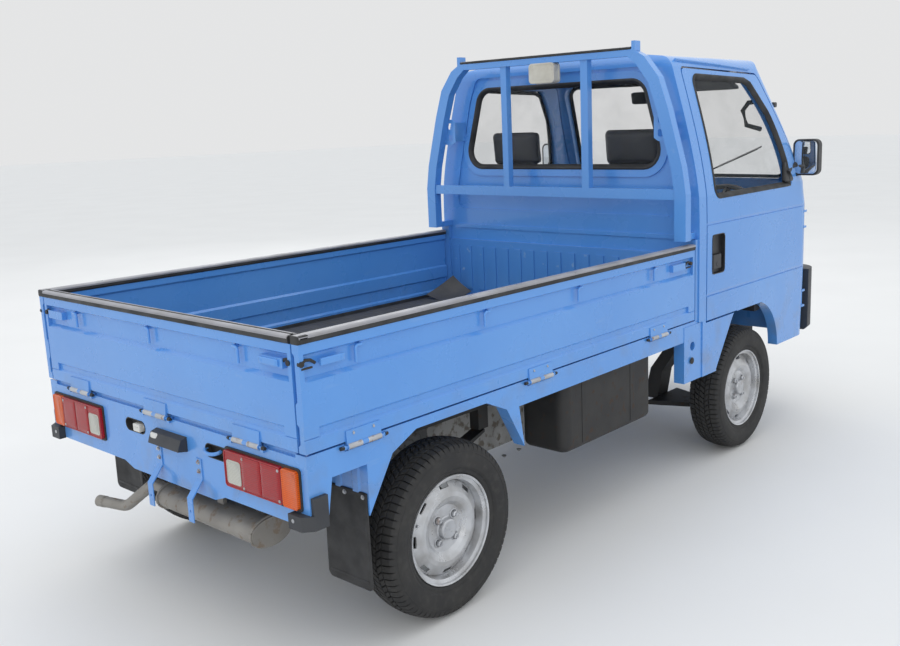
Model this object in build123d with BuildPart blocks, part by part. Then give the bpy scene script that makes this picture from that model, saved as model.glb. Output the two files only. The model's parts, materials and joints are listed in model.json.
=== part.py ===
from build123d import *
import os
from math import asin, atan2, cos, degrees, hypot, pi, radians, sin, sqrt, tan

# A kei truck: a small cab-over pickup with drop-side gates.
# Millimetres. +X is the truck's left, +Y its rear, +Z up, the floor is z = 0.

# Driving sizes of the whole truck
wheelbase = 1900
front_overhang = 818        # front axle to the bumper's face
rear_overhang = 577         # rear axle to the plate straps
rear_y = (front_overhang + wheelbase - rear_overhang) / 2
front_y = rear_y - wheelbase
nose_y = front_y - front_overhang
back_y = rear_y + rear_overhang
gap = 7                     # shut line round a door
clear = 5.5                 # least room beside a part that moves
running = 0.3               # room round a pin that turns in its hole

# Wheels: 12 inch steel rims with light truck tyres
tyre_radius = 271
tyre_width = 145
rim_wall = 6
wheel_x = 602.5             # half the track
hub_radius = 30
lug_count = 4
lug_circle = 50             # radius of the wheel nut circle
slot_count = 8
slot_radius = 134

rim_outer = (               # across the wheel, radius
    (-57, 169), (-50, 169), (-46, 158), (-20, 156), (0, 149), (18, 152), (46, 158), (50, 169), (57, 169),
)
disc_outer = (              # across the wheel, radius of its outer face
    (16, 150), (24, 145), (36, 126), (44, 113), (46, 100), (40, 84), (30, 72), (30, 30),
)
disc_wall = 5
tyre_edge = (               # across the wheel, radius, from the bead to the shoulder
    (45.6, 158.3), (49.6, 170), (60, 176), (tyre_width / 2, 219), (60, 262),
)
hub_face_x = wheel_x + disc_outer[-1][0] - disc_wall - 0.4
hub_end_x = wheel_x + 46
hub_flange = 58
drum_out_x = 556

# Cab: the outer form by height
cab_back_y = rear_y - 1444
cab_sections = [            # height, half width, front at the middle, corner radius
    (400, 690, -1512, 120),
    (700, 691, -1530, 120),
    (1040, 691, -1528, 120),
    (1150, 688, -1500, 115),
    (1340, 654, -1395.5, 105),
    (1650, 569, -1225, 90),
    (1770, 536, -1159, 80),
]
crown_radius = 3200         # of the front, seen from above
belt_z = 1150
roof_z = 1735
roof_front_z = 1700
gutter_z = 1650             # where the side ends and the roof's edge begins
roof_edge_radius = 70
side_wall = 45
front_wall = 40
back_wall = 30
roof_wall = 28
glass_inset = 14
glass_thick = 5
cab_bottom_z = 419

# Door outline, seen from the side
door_rear_y = rear_y - 1508
door_front_y = -1389
door_bottom_z = 646
door_nose_z = 415           # bottom of the door ahead of the wheel
door_pillar_z = 1100        # where the front edge starts to follow the pillar
door_top_front = (-1100, 1612)
door_top_front_z = 1634
door_top_rear_z = 1652
hinge_x = 685               # near the skin and behind the door's edge, so that its corner clears the front
hinge_y = door_front_y + 8
pin_radius = 4
door_hinge_heights = (560, 940)
hinge_length = 60
ear_radius = 5.5
ear_thick = 10
ear_room = 2                # above and below an ear in its slot

# Front wheel arch in the side, measured from the axle
arch_top_z = 643
arch_rear_y = 155
arch_rear_low = (307, 430)
arch_front_y = -106
arch_front_mid = (-227, 565)
arch_front_low = (-281, 399)

# Side window in the door
window_rear_y = rear_y - 1590
window_top_z = 1610
window_front_top = (-985, 1598)
window_front_mid = (-1118, 1436)
window_front_low = (-1217, 1154)

# Windscreen and rear window, as far as glass shows
screen_low_z = 1172
screen_low_x = 592
screen_top_z = 1622
screen_top_x = 506
back_glass_low_z = 1275
back_glass_low_x = 517
back_glass_top_z = 1603
back_glass_top_x = 425
seal = 16                   # a window hole's edge past the glass that shows
back_press = 7              # depth of the pressing in the cab's back wall
back_press_edge = (         # half width, height
    (592, 1072), (592, 1165), (566, 1280), (496, 1560), (452, 1664),
)
window_lip = 32             # raised band round the rear window
ledge_z = 990

# Lamps in the nose
lamp_in_x = 395
lamp_out_x = 600
lamp_low_z = 770
lamp_top_z = 900
marker_low_z = 800
marker_rear_y = door_front_y - 22
plate_pitch = 210
bumper_low_z = 425
bumper_top_z = 724
bumper_half = 694
bumper_rear_y = -1440

# Door furniture
swage_heights = (744, 1032)
swage_depth = 4
swage_rise = 14
handle_low = (door_rear_y - 147, 831)
handle_high = (door_rear_y - 42, 989)
mirror_y = -1290            # plane of the mirror glass
mirror_mid = (728, 1262)
mirror_width = 122
mirror_height = 164
mirror_depth = 46
corner_y = rear_y - 1335    # rear end of the cab's lower corner

# Load bed
bed_z = 660
bed_floor_thick = 10
mat_thick = 4
gate_front_y = rear_y - 1415
tail_y = rear_y + 537
gate_x = 686                # outer face of a side gate
gate_thick = 26
gate_bottom_z = 666
gate_top_z = 946
trim_height = 20
trim_width = 34
skirt_x = 684
skirt_inner_x = 640
skirt_bottom_z = 588
pin_out = 4                 # hinge pin outside the gate's face
gate_pin_x = gate_x + pin_out
gate_pin_z = 652
barrel_radius = 7.5
barrel_length = 120
rear_panel_thick = 20
rear_panel_y = tail_y - 2
rear_panel_low_z = 466
rear_panel_mid_z = 448

gate_hinges = (347, -412, -1138)        # from the rear axle
tail_hinges = (464, 10, -440)           # from the middle
gate_pin_radius = 4
skirt_low_edge = (          # from the rear axle
    (535, 463),
    (480, 461),
    (458, 584),
    (338, 584),
    (338, 438),
    (244, 588),
    (150, 632),
    (-150, 632),
    (-244, 588),
    (-326, 447),
    (-304, 584),
    (-1335, 588),
)
gate_outer_edge = (         # height, depth of the outer face
    (666, 0), (700, 0), (707, 7), (722, 7), (729, 0), (848, 0), (858, 12), (914, 12), (921, 0), (946, 0),
)
gate_inner_edge = (         # height, depth of the inner face
    (946, 0), (925, 0), (917, 8), (800, 8), (792, 0), (742, 0), (734, 8), (690, 8), (682, 0), (666, 0),
)
gate_plain_ends = (         # length, low, high of the flat ends between the swages
    (48, 704, 735), (14, 846, 923),
)
gate_hooks = (356, -152, -629, -1109)   # from the rear axle
tail_hooks = (438, 6, -432)             # from the middle
hook_top_z = 911
hook_low_z = 868
hook_radius = 4
guard_y = rear_y - 1375     # front face of the guard frame
guard_depth = 40
guard_outer = (             # half width, height
    (690, 987), (690, 1170), (673, 1276), (612, 1496), (570, 1616), (505, 1697), (450, 1727),
)
guard_inner = (
    (640, 987), (640, 1170), (624, 1268), (563, 1486), (524, 1597), (470, 1668), (430, 1700),
)
plate_in_x = 528            # inner edge of the plates that hold the frame to the cab
plate_low_z = 1372
plate_high_z = 1486
plate_holes = (1403, 1455)
guard_bar_z = (1147, 1187)
guard_uprights = ((204, 31), (-220, 35))    # place, width
louvre_top_z = 925
rib_count = 17
post_top_z = 985

# Ladder frame
foot_rear_y = -1190
foot_front_y = -1500
floor_x = 640
well_x = 618                # half width of the foot well beside the doors' front edges
well_rear_y = -1300
cross_width = 50
cross_y = (-1000, -430, -250, 180, 560, 800, 1340, 1560)
tie_y = (-300, 820, 1340)
spring_half = 430
rail_x = 380
rail_width = 60
rail_low_z = 500
rail_top_z = 590
cross_top_z = bed_z - bed_floor_thick
deck_top_z = 670
deck_thick = deck_top_z - cross_top_z
foot_z = 490

# Steering: the leaning axis that a front wheel turns about
ball_x = 520
ball_z = 170
strut_top_x = 440
strut_top_z = 660

# Tail lamps, from the middle
lamp_gasket = (332, 658, 507, 623)      # near, far, low, high
lamp_red = (338, 588, 513, 617)
lamp_amber = (590, 652, 513, 617)
lamp_clear = (350, 413, 524, 592)
gasket_thick = 4
lens_thick = 8
strap_places = (16, -194)   # of the plate straps, 210 mm apart
strap_width = 26
strap_wall = 3
strap_low_z = 379
strap_hole_z = 412

# Under the truck
arm_in_x = 253
strut_steps = (             # bottom, top, radius
    (388, 505, 22), (505, 518, 42), (518, 632, 36), (632, 647.7, 12),
)
spring_thick = 26
spring_seat_z = tyre_radius + 50
axle_edge = (               # from the middle, radius
    (0, 105), (60, 88), (92, 52), (120, 36), (480, 36), (494, 112), (drum_out_x, 112), (drum_out_x, hub_flange),
    (hub_face_x, hub_flange), (hub_face_x, hub_radius - running), (hub_end_x, hub_radius - running),
)
engine_low = (-230, 190, 245)
engine_high = (230, 730, 560)
tank_low = (-640, -100, 325)
tank_high = (-440, 470, rail_top_z)
muffler_y = rear_y + 450
muffler_z = 360

# Inside the cab
dash_half = 600
dash_edge = (
    (-1600, 780), (-1600, 1058), (-1340, 1072), (-1295, 1040), (-1300, 930), (-1390, 790),
)
seat_x = 315
seat_width = 470
head_rest_y = -486
head_rest_z = 1250
wheel_tilt = 38             # of the steering wheel's plane from level
steer_x = -315
steer_y = -1190
steer_z = 1010
steer_radius = 180
steer_rim = 12

os.makedirs("parts", exist_ok=True)


def save(part, name):
    part.label = name
    export_step(part, "parts/" + name + ".step")


def both_sides(part):
    return Compound(children=[part, mirror(part, about=Plane.YZ)])


# Cab form

def section_points(half_width, front, corner, back):
    # the corner circle touches the side line and the crowned front from inside
    crown_y = front + crown_radius
    corner_x = half_width - corner
    corner_y = crown_y - sqrt((crown_radius - corner) ** 2 - corner_x ** 2)
    lean = atan2(corner_x, crown_y - corner_y)
    touch = (crown_radius * sin(lean), crown_y - crown_radius * cos(lean))
    middle = (pi / 2 - lean) / 2
    bend = (corner_x + corner * cos(middle), corner_y - corner * sin(middle))
    return corner_y, bend, touch


def cab_outline(half_width, front, corner, back):
    corner_y, bend, touch = section_points(half_width, front, corner, back)
    with BuildSketch(Plane.XY) as outline:
        with BuildLine():
            Line((half_width, back), (half_width, corner_y))
            ThreePointArc((half_width, corner_y), bend, touch)
            ThreePointArc(touch, (0, front), (-touch[0], touch[1]))
            ThreePointArc((-touch[0], touch[1]), (-bend[0], bend[1]), (-half_width, corner_y))
            Line((-half_width, corner_y), (-half_width, back))
            Line((-half_width, back), (half_width, back))
        make_face()
    return outline.sketch


def cab_form(side_in, front_in, back_in, roof_in):
    back = cab_back_y - back_in
    faces = []
    for height, half_width, front, corner in cab_sections:
        outline = cab_outline(half_width - side_in, front + front_in, corner - side_in / 2, back)
        faces.append(outline.moved(Location((0, 0, height))))
    belt = 3
    with BuildPart() as form:
        add(Solid.make_loft([face.face().outer_wire() for face in faces[:belt + 1]], ruled=True))
        add(Solid.make_loft([face.face().outer_wire() for face in faces[belt:]]))
        # the roof seen from the front: a tight edge and a long crown
        top = roof_z - roof_in
        edge = roof_edge_radius - roof_in
        gutter_x = cab_sections[5][1] - side_in
        lean = atan2(cab_sections[4][1] - cab_sections[5][1], cab_sections[5][0] - cab_sections[4][0])
        gutter = (gutter_x + 0.2, gutter_z - roof_in / 2)
        edge_x = gutter[0] - edge * cos(lean)
        edge_z = gutter[1] - edge * sin(lean)
        crown = (edge ** 2 - edge_x ** 2 - (edge_z - top) ** 2) / (2 * (edge_z - top + edge))
        turn = atan2(edge_x, edge_z - top + crown)
        middle = (lean + pi / 2 - turn) / 2
        bend = (edge_x + edge * cos(middle), edge_z + edge * sin(middle))
        touch = (crown * sin(turn), top - crown + crown * cos(turn))
        with BuildSketch(Plane.XZ) as front_view:
            with BuildLine():
                Polyline((0, 300), (780, 300), (780, 1500), gutter)
                ThreePointArc(gutter, bend, touch)
                ThreePointArc(touch, (touch[0] / 2, top - crown + sqrt(crown ** 2 - touch[0] ** 2 / 4)), (0, top))
                Line((0, top), (0, 300))
            make_face()
            mirror(about=Plane.YZ)
        extrude(amount=2000, both=True, mode=Mode.INTERSECT)
        # the roof seen from the side: falls a little towards the front
        front_top = (cab_sections[5][2] + front_in - 0.3, gutter_z - roof_in)
        with BuildSketch(Plane.YZ):
            with BuildLine():
                header = (cab_sections[5][2] + front_in + 62, roof_front_z - roof_in)
                middle = (cab_sections[5][2] + front_in + 22, roof_front_z - roof_in - 16)
                Line((back, 300), (back, gutter_z - roof_in))
                ThreePointArc((back, gutter_z - roof_in), (back - 22, roof_z - roof_in - 26), (back - 80, roof_z - roof_in))
                Line((back - 80, roof_z - roof_in), (-700, roof_z - roof_in))
                Line((-700, roof_z - roof_in), header)
                ThreePointArc(header, middle, front_top)
                Line(front_top, (-1900, 1500))
                Line((-1900, 1500), (-1900, 300))
                Line((-1900, 300), (back, 300))
            make_face()
        extrude(amount=1000, both=True, mode=Mode.INTERSECT)
    return form.part



outer_form = cab_form(0, 0, 0, 0)
inner_form = cab_form(side_wall, front_wall, back_wall, roof_wall)
glass_outer = cab_form(glass_inset, glass_inset, glass_inset, glass_inset)
glass_inner_in = glass_inset + glass_thick
glass_inner = cab_form(glass_inner_in, glass_inner_in, glass_inner_in, glass_inner_in)


# Prisms that part the cab's shell into its panels

def side_prism(outline, near, far):
    # an outline seen from the side, between two distances from the middle
    with BuildPart() as prism:
        with BuildSketch(Plane.YZ.offset(near)) as face:
            add(outline)
        extrude(amount=far - near)
    return prism.part


def door_outline(grow):
    # grow widens it on every side but the wheel arch
    lean = (door_top_front[0] - door_front_y) / (door_top_front[1] - door_pillar_z)
    slant = grow * hypot(1, lean)
    with BuildSketch() as outline:
        with BuildLine():
            Polyline(
                (door_rear_y + grow, door_bottom_z - grow),
                (door_rear_y + grow, door_top_rear_z + grow),
                (door_top_front[0] + 22, door_top_front_z + grow),
                (door_top_front[0] - slant * 0.8, door_top_front[1]),
                (door_front_y - grow, door_pillar_z),
                (door_front_y - grow, door_nose_z - grow),
                (front_y + arch_rear_low[0] - 180, door_nose_z - grow),
                (front_y + arch_rear_low[0] - 180, door_bottom_z - grow),
                close=True,
            )
        make_face()
        tops = outline.vertices().group_by(Axis.Y)[-1] + outline.vertices().group_by(Axis.Y)[-2]
        fillet(tops, 24)
    return outline.sketch


def window_outline(grow):
    # grow is how far the hole reaches past the glass that shows
    with BuildSketch() as outline:
        with BuildLine():
            Line((window_rear_y, belt_z), (window_rear_y, window_top_z))
            Line((window_rear_y, window_top_z), window_front_top)
            ThreePointArc(window_front_top, window_front_mid, window_front_low)
            Line(window_front_low, (window_rear_y, belt_z))
        make_face()
        corners = outline.vertices().sort_by(Axis.X)
        fillet(corners[1:], 28)
        if grow:
            offset(amount=grow)
    return outline.sketch


def arch_outline():
    with BuildSketch() as outline:
        with BuildLine():
            Polyline(
                (front_y + arch_front_low[0], 200),
                (front_y + arch_front_low[0], arch_front_low[1]),
            )
            ThreePointArc(
                (front_y + arch_front_low[0], arch_front_low[1]),
                (front_y + arch_front_mid[0], arch_front_mid[1]),
                (front_y + arch_front_y, arch_top_z),
            )
            Polyline(
                (front_y + arch_front_y, arch_top_z),
                (front_y + arch_rear_y, arch_top_z),
                (front_y + arch_rear_low[0], arch_rear_low[1]),
                (front_y + arch_rear_low[0], 200),
                (front_y + arch_front_low[0], 200),
            )
        make_face()
        fillet(outline.vertices().group_by(Axis.Y)[-1].sort_by(Axis.X)[-1:], 40)
    return outline.sketch


def windscreen_outline(grow):
    with BuildSketch() as outline:
        with BuildLine():
            Polyline(
                (0, screen_low_z),
                (screen_low_x, screen_low_z),
                (screen_top_x, screen_top_z),
                (0, screen_top_z),
            )
            mirror(about=Plane.YZ)
        make_face()
        fillet(outline.vertices(), 55)
        if grow:
            offset(amount=grow)
    return outline.sketch


def rear_window_outline(grow):
    with BuildSketch() as outline:
        with BuildLine():
            Polyline(
                (0, back_glass_low_z),
                (back_glass_low_x, back_glass_low_z),
                (back_glass_top_x, back_glass_top_z),
                (0, back_glass_top_z),
            )
            mirror(about=Plane.YZ)
        make_face()
        fillet(outline.vertices(), 62)
        if grow:
            offset(amount=grow)
    return outline.sketch


def block(low, high):
    # a plain box between two corners
    size = [b - a for a, b in zip(low, high)]
    with BuildPart(Plane((low[0] + size[0] / 2, low[1] + size[1] / 2, low[2] + size[2] / 2))) as box:
        Box(*size)
    return box.part


def front_prism(outline, near, far):
    # an outline seen from the front or the back, between two places along Y
    with BuildPart() as prism:
        with BuildSketch(Plane.XZ.offset(-near)):
            add(outline)
        extrude(amount=-(far - near))
    return prism.part



def mirrored(part):
    return mirror(part, about=Plane.YZ)


def mirrored_block(low, high):
    return block((-high[0], low[1], low[2]), (-low[0], high[1], high[2]))


shell = outer_form - inner_form
far = 1000
door_hole = side_prism(door_outline(gap), 440, far) + side_prism(arch_outline(), 440, far)
arch_block = side_prism(arch_outline(), 440, far)

# Back wall of the cab with its window
behind = block((-far, cab_back_y - back_wall, cross_top_z), (far, far, 2000))
with BuildPart() as cab_back:
    add(outer_form & behind)
    # the wall is pressed in round a raised band that the rear window sits in
    with BuildSketch() as pressing:
        with BuildLine():
            Polyline((0, back_press_edge[0][1]), *back_press_edge, (0, back_press_edge[-1][1]))
            mirror(about=Plane.YZ)
        make_face()
        fillet(pressing.vertices(), 40)
    pressed = front_prism(pressing.sketch, cab_back_y - back_press, cab_back_y + 50)
    lip = front_prism(rear_window_outline(seal + window_lip), cab_back_y - back_press - 1, cab_back_y + 60)
    add(pressed - lip, mode=Mode.SUBTRACT)
    add(block((-back_press_edge[0][0], cab_back_y - 1, ledge_z - 8), (back_press_edge[0][0], cab_back_y + 6, ledge_z + 8)))
    hole = front_prism(rear_window_outline(seal), cab_back_y - 100, cab_back_y + 100)
    add(hole, mode=Mode.SUBTRACT)
save(cab_back.part, "cab_back")

# Roof skin between the back wall and the windscreen
above = block((-far, -1400, gutter_z + 12), (far, cab_back_y - back_wall, 2000))
with BuildPart() as cab_roof:
    add(shell & above)
save(cab_roof.part, "cab_roof")

# Front panel below the windscreen, with a pocket for each lamp
ahead_low = block((-far, -2000, cab_bottom_z), (far, door_front_y - gap, belt_z))
lamp_pocket = block((lamp_in_x, -2000, lamp_low_z), (lamp_out_x, -1300, lamp_top_z))
marker_pocket = block((lamp_out_x + 4, -2000, marker_low_z), (far, marker_rear_y, lamp_top_z))
with BuildPart() as cab_front:
    add(shell & ahead_low)
    for pocket in (lamp_pocket, marker_pocket):
        add(pocket, mode=Mode.SUBTRACT)
        add(mirrored(pocket), mode=Mode.SUBTRACT)
    # two ears and a pin for each door hinge
    for side in (-1, 1):
        for height in door_hinge_heights:
            for low in (height - ear_room - ear_thick, height + hinge_length + ear_room):
                with BuildSketch(Plane.XY.offset(low)):
                    with Locations((side * hinge_x, (hinge_y + door_front_y - gap - 12) / 2)):
                        Rectangle(2 * ear_radius, hinge_y - door_front_y + gap + 12)
                    with Locations((side * hinge_x, hinge_y)):
                        Circle(ear_radius)
                extrude(amount=ear_thick)
            with Locations((side * hinge_x, hinge_y, height + hinge_length / 2)):
                Cylinder(pin_radius, hinge_length + 2 * (ear_room + ear_thick))
save(cab_front.part, "cab_front")

# Pillars and header round the windscreen
pillar_lean = (door_top_front[0] - door_front_y) / (door_top_front[1] - door_pillar_z)
pillar_gap = gap * hypot(1, pillar_lean)
with BuildSketch() as pillar_side:
    with BuildLine():
        low_y = door_front_y - gap + (belt_z - door_pillar_z) * pillar_lean
        top_y = door_front_y - gap + (gutter_z + 12 - door_pillar_z) * pillar_lean
        Polyline((-1900, belt_z), (low_y, belt_z), (top_y, gutter_z + 12), (-1900, gutter_z + 12), close=True)
    make_face()
with BuildPart() as screen_frame:
    add(shell & side_prism(pillar_side.sketch, -far, far))
    add(front_prism(windscreen_outline(seal), -1900, -1050), mode=Mode.SUBTRACT)
save(screen_frame.part, "windscreen_frame")

# Side of the cab behind and below the door
with BuildSketch() as side_face:
    with BuildLine():
        Polyline(
            (cab_back_y - back_wall, cross_top_z),
            (cab_back_y - back_wall, gutter_z + 12),
            (top_y, gutter_z + 12),
            (low_y, belt_z),
            (door_front_y - gap, belt_z - 1),
            (door_front_y - gap, cab_bottom_z),
            (cab_back_y - back_wall, cab_bottom_z),
            close=True,
        )
    make_face()
with BuildPart() as cab_side:
    add(shell & side_prism(side_face.sketch, 440, far))
    add(door_hole, mode=Mode.SUBTRACT)
    # the lower corner runs on below the front of the bed
    add(block((skirt_inner_x, cab_back_y - back_wall, cab_bottom_z), (gate_x, corner_y, cross_top_z - 3)))
    add(block((440, -far, 300), (far, far, cab_bottom_z)), mode=Mode.SUBTRACT)
    with Locations(Plane((far, corner_y - 65, 562), x_dir=(0, 1, 0), z_dir=(1, 0, 0))):
        Cylinder(18, 2 * far, mode=Mode.SUBTRACT)
save(both_sides(cab_side.part), "cab_sides")

# Doors, each with a hole for its window
window_block = side_prism(window_outline(seal), 440, far)
with BuildPart() as door:
    add(shell & side_prism(door_outline(0), 440, far))
    add(arch_block, mode=Mode.SUBTRACT)
    add(window_block, mode=Mode.SUBTRACT)
    # pin holes, and a slot for each ear of the front panel
    for height in door_hinge_heights:
        slot_room = ear_radius + 4.5
        for low in (height - 2 * ear_room - ear_thick, height + hinge_length):
            slot_low = (hinge_x - slot_room, door_front_y - 20, low)
            add(block(slot_low, (far, hinge_y + slot_room, low + ear_thick + 2 * ear_room)), mode=Mode.SUBTRACT)
        with Locations((hinge_x, hinge_y, height + hinge_length / 2)):
            Cylinder(pin_radius + running, hinge_length + 2, mode=Mode.SUBTRACT)
    # two creases run along the door
    for height in swage_heights:
        skin_x = cab_sections[2][1]
        with BuildSketch(Plane.XZ.offset(-door_front_y + 60)):
            with BuildLine():
                Polyline(
                    (skin_x + 2, height - 1), (skin_x - swage_depth, height),
                    (skin_x, height + swage_rise), (skin_x + 2, height + swage_rise), close=True,
                )
            make_face()
        extrude(amount=-(door_rear_y - door_front_y + 120), mode=Mode.SUBTRACT)
    # pull handle in a dark cup
    with Locations((cab_sections[2][1], (handle_low[0] + handle_high[0]) / 2, (handle_low[1] + handle_high[1]) / 2)):
        Box(36, handle_high[0] - handle_low[0], handle_high[1] - handle_low[1], mode=Mode.SUBTRACT)
save(door.part, "door_left")
save(mirrored(door.part), "door_right")

# Glass in the four windows
glass_skin = glass_outer - glass_inner
with BuildPart() as door_glass:
    add(glass_skin & window_block)
save(door_glass.part, "door_glass_left")
save(mirrored(door_glass.part), "door_glass_right")
with BuildPart() as windscreen:
    add(glass_skin & front_prism(windscreen_outline(seal), -1900, -1050))
save(windscreen.part, "windscreen")
with BuildPart() as rear_window:
    add(front_prism(rear_window_outline(seal), cab_back_y - glass_inset - glass_thick, cab_back_y - glass_inset))
save(rear_window.part, "rear_window")

# Mirrors, each on a stalk from the door's front corner
with BuildPart() as mirror_head:
    with BuildSketch(Plane((mirror_mid[0], mirror_y, mirror_mid[1]), x_dir=(1, 0, 0), z_dir=(0, -1, 0))) as face:
        RectangleRounded(mirror_width, mirror_height, 28)
    extrude(amount=mirror_depth)
    fillet(mirror_head.faces().sort_by(Axis.Y)[0].edges(), 14)
    with BuildSketch(Plane.XZ.offset(-mirror_y)):
        with BuildLine():
            Polyline((650, 1152), (mirror_mid[0], 1205), (mirror_mid[0], 1230), (650, 1180), close=True)
        make_face()
    extrude(amount=20)
    add(outer_form, mode=Mode.SUBTRACT)
save(mirror_head.part, "mirror_left")
save(mirrored(mirror_head.part), "mirror_right")

# Ladder frame: two rails, and the crossmembers on and between them
rail_in = rail_x - rail_width / 2
rail_out = rail_x + rail_width / 2
frame_front_y = -1440
frame_rear_y = rear_panel_y - rear_panel_thick
with BuildPart() as frame:
    for side in (-1, 1):
        with BuildSketch(Plane.YZ.offset(side * rail_x - rail_width / 2)):
            with BuildLine():
                Polyline(
                    (frame_front_y, foot_z - 20),
                    (foot_rear_y + 15, foot_z - 20),
                    (foot_rear_y + 115, rail_top_z),
                    (frame_rear_y, rail_top_z),
                    (frame_rear_y, rail_low_z),
                    (foot_rear_y + 150, rail_low_z),
                    (foot_rear_y + 50, foot_z - 95),
                    (frame_front_y, foot_z - 95),
                    close=True,
                )
            make_face()
        extrude(amount=rail_width)
    # hangers for the leaf springs
    for side in (-1, 1):
        for y in (rear_y - spring_half - 20, rear_y + spring_half + 20):
            with Locations((side * rail_x, y, rail_low_z - 40)):
                Box(40, 50, 80)
save(frame.part, "chassis_rails")
crossmembers = []
for y in cross_y:
    crossmembers.append(
        block((-skirt_inner_x, y - cross_width / 2, rail_top_z), (skirt_inner_x, y + cross_width / 2, cross_top_z))
    )
for y in tie_y:
    crossmembers.append(block((-rail_in, y - 20, rail_low_z), (rail_in, y + 20, rail_low_z + 60)))
crossmembers.append(block((-rail_in, frame_front_y, foot_z - 94), (rail_in, frame_front_y + 60, foot_z - 20)))
save(Compound(children=crossmembers), "crossmembers")

# Cab floor: a foot well ahead of the raised deck that the seats stand on
with BuildPart() as cab_floor:
    with BuildSketch(Plane.YZ.offset(-floor_x)):
        with BuildLine():
            Polyline(
                (foot_front_y, foot_z - 20),
                (foot_rear_y, foot_z - 20),
                (foot_rear_y + 60, cross_top_z),
                (cab_back_y - back_wall, cross_top_z),
                (cab_back_y - back_wall, deck_top_z),
                (foot_rear_y + 46, deck_top_z),
                (foot_rear_y - 14, foot_z),
                (foot_front_y, foot_z),
                close=True,
            )
        make_face()
    extrude(amount=2 * floor_x)
    add(inner_form, mode=Mode.INTERSECT)
    # the doors' front edges swing past the foot well
    for near, outer in ((well_x, far), (-far, -well_x)):
        add(block((near, -2000, 300), (outer, well_rear_y, cross_top_z)), mode=Mode.SUBTRACT)
save(cab_floor.part, "cab_floor")

# Bed floor, its mat, and the pressed wall at its front
with BuildPart() as bed_floor:
    add(block((-skirt_inner_x, cab_back_y, cross_top_z), (skirt_inner_x, rear_panel_y - 8, bed_z)))
save(bed_floor.part, "bed_floor")
with BuildPart() as bed_mat:
    add(block((-skirt_inner_x + 8, gate_front_y + 10, bed_z), (skirt_inner_x - 8, tail_y - gate_thick - 12, bed_z + mat_thick)))
save(bed_mat.part, "bed_mat")
with BuildPart() as headboard:
    add(block((-skirt_inner_x, cab_back_y, bed_z), (skirt_inner_x, cab_back_y + 12, louvre_top_z)))
    rib_pitch = 2 * skirt_inner_x / rib_count
    with Locations(Plane((0, cab_back_y + 12, (bed_z + louvre_top_z) / 2))):
        with GridLocations(rib_pitch, 0, rib_count, 1):
            Box(rib_pitch * 0.5, 10, louvre_top_z - bed_z - 60)
    # corner posts that the side gates close against
    for side in (-1, 1):
        with Locations((side * (skirt_inner_x + gate_x) / 2, cab_back_y + 11.5, (bed_z + post_top_z) / 2)):
            Box(gate_x - skirt_inner_x, 23, post_top_z - bed_z)
save(headboard.part, "headboard")

# Side skirts below the gates, cut out round the rear wheels
with BuildPart() as skirt:
    with BuildSketch(Plane.YZ.offset(skirt_inner_x)):
        with BuildLine():
            points = [(rear_y + y, z) for y, z in skirt_low_edge]
            Polyline(
                (cab_back_y, bed_z),
                (rear_panel_y, bed_z),
                *points,
                (corner_y, cross_top_z - 3),
                (cab_back_y, cross_top_z - 3),
                close=True,
            )
        make_face()
    extrude(amount=skirt_x - skirt_inner_x)
    for y in gate_hinges:
        notch_low = (gate_pin_x - barrel_radius - 4, rear_y + y - barrel_length / 2 - 4, gate_pin_z - barrel_radius - 5)
        notch_high = (far, rear_y + y + barrel_length / 2 + 4, bed_z + 10)
        add(block(notch_low, notch_high), mode=Mode.SUBTRACT)
        with Locations(Plane((gate_pin_x, rear_y + y, gate_pin_z), z_dir=(0, 1, 0))):
            Cylinder(gate_pin_radius, barrel_length + 30)
        for end in (-1, 1):
            with Locations((gate_pin_x - 6, rear_y + y + end * (barrel_length / 2 + 11), gate_pin_z)):
                Box(18, 12, 11)
save(both_sides(skirt.part), "bed_skirts")

# Drop sides: a pressed section run along the bed, with rope hooks and hinge straps

def gate_section(outer, inner):
    # depths are counted from the two faces towards the middle of the sheet
    with BuildSketch() as section:
        with BuildLine():
            points = [(outer - depth, height) for height, depth in gate_outer_edge]
            points += [(inner + depth, height) for height, depth in gate_inner_edge]
            Polyline(*points, close=True)
        make_face()
    return section.sketch


def rope_hook(face, place):
    # a bent rod that stands off the recessed band, drawn along X with the face at y
    band = gate_outer_edge[6][1]
    with BuildPart() as hook:
        with BuildLine(Plane.XZ.offset(-face)):
            FilletPolyline((place + 22, hook_top_z), (place, hook_top_z), (place, hook_low_z), radius=9)
        with BuildSketch(Plane((place + 22, face, hook_top_z), x_dir=(0, 1, 0), z_dir=(-1, 0, 0))):
            Circle(hook_radius)
        sweep()
        with Locations((place + 19, face - band / 2 - 1, hook_top_z)):
            Box(10, band + 2, 8)
    return hook.part


def gate_hinge(face, place):
    # a strap on the face and a barrel round the pin, drawn along X
    with BuildPart() as hinge:
        with BuildSketch(Plane.YZ.offset(place - barrel_length / 2)):
            with Locations((face + pin_out, gate_pin_z)):
                Circle(barrel_radius)
            with BuildLine():
                Polyline(
                    (face - 2, gate_pin_z + 4),
                    (face - 2, gate_bottom_z + 28),
                    (face + 3, gate_bottom_z + 28),
                    (face + pin_out + 2, gate_pin_z + 4),
                    close=True,
                )
            make_face()
            with Locations((face + pin_out, gate_pin_z)):
                Circle(gate_pin_radius + running, mode=Mode.SUBTRACT)
        extrude(amount=barrel_length)
    return hinge.part


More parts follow.
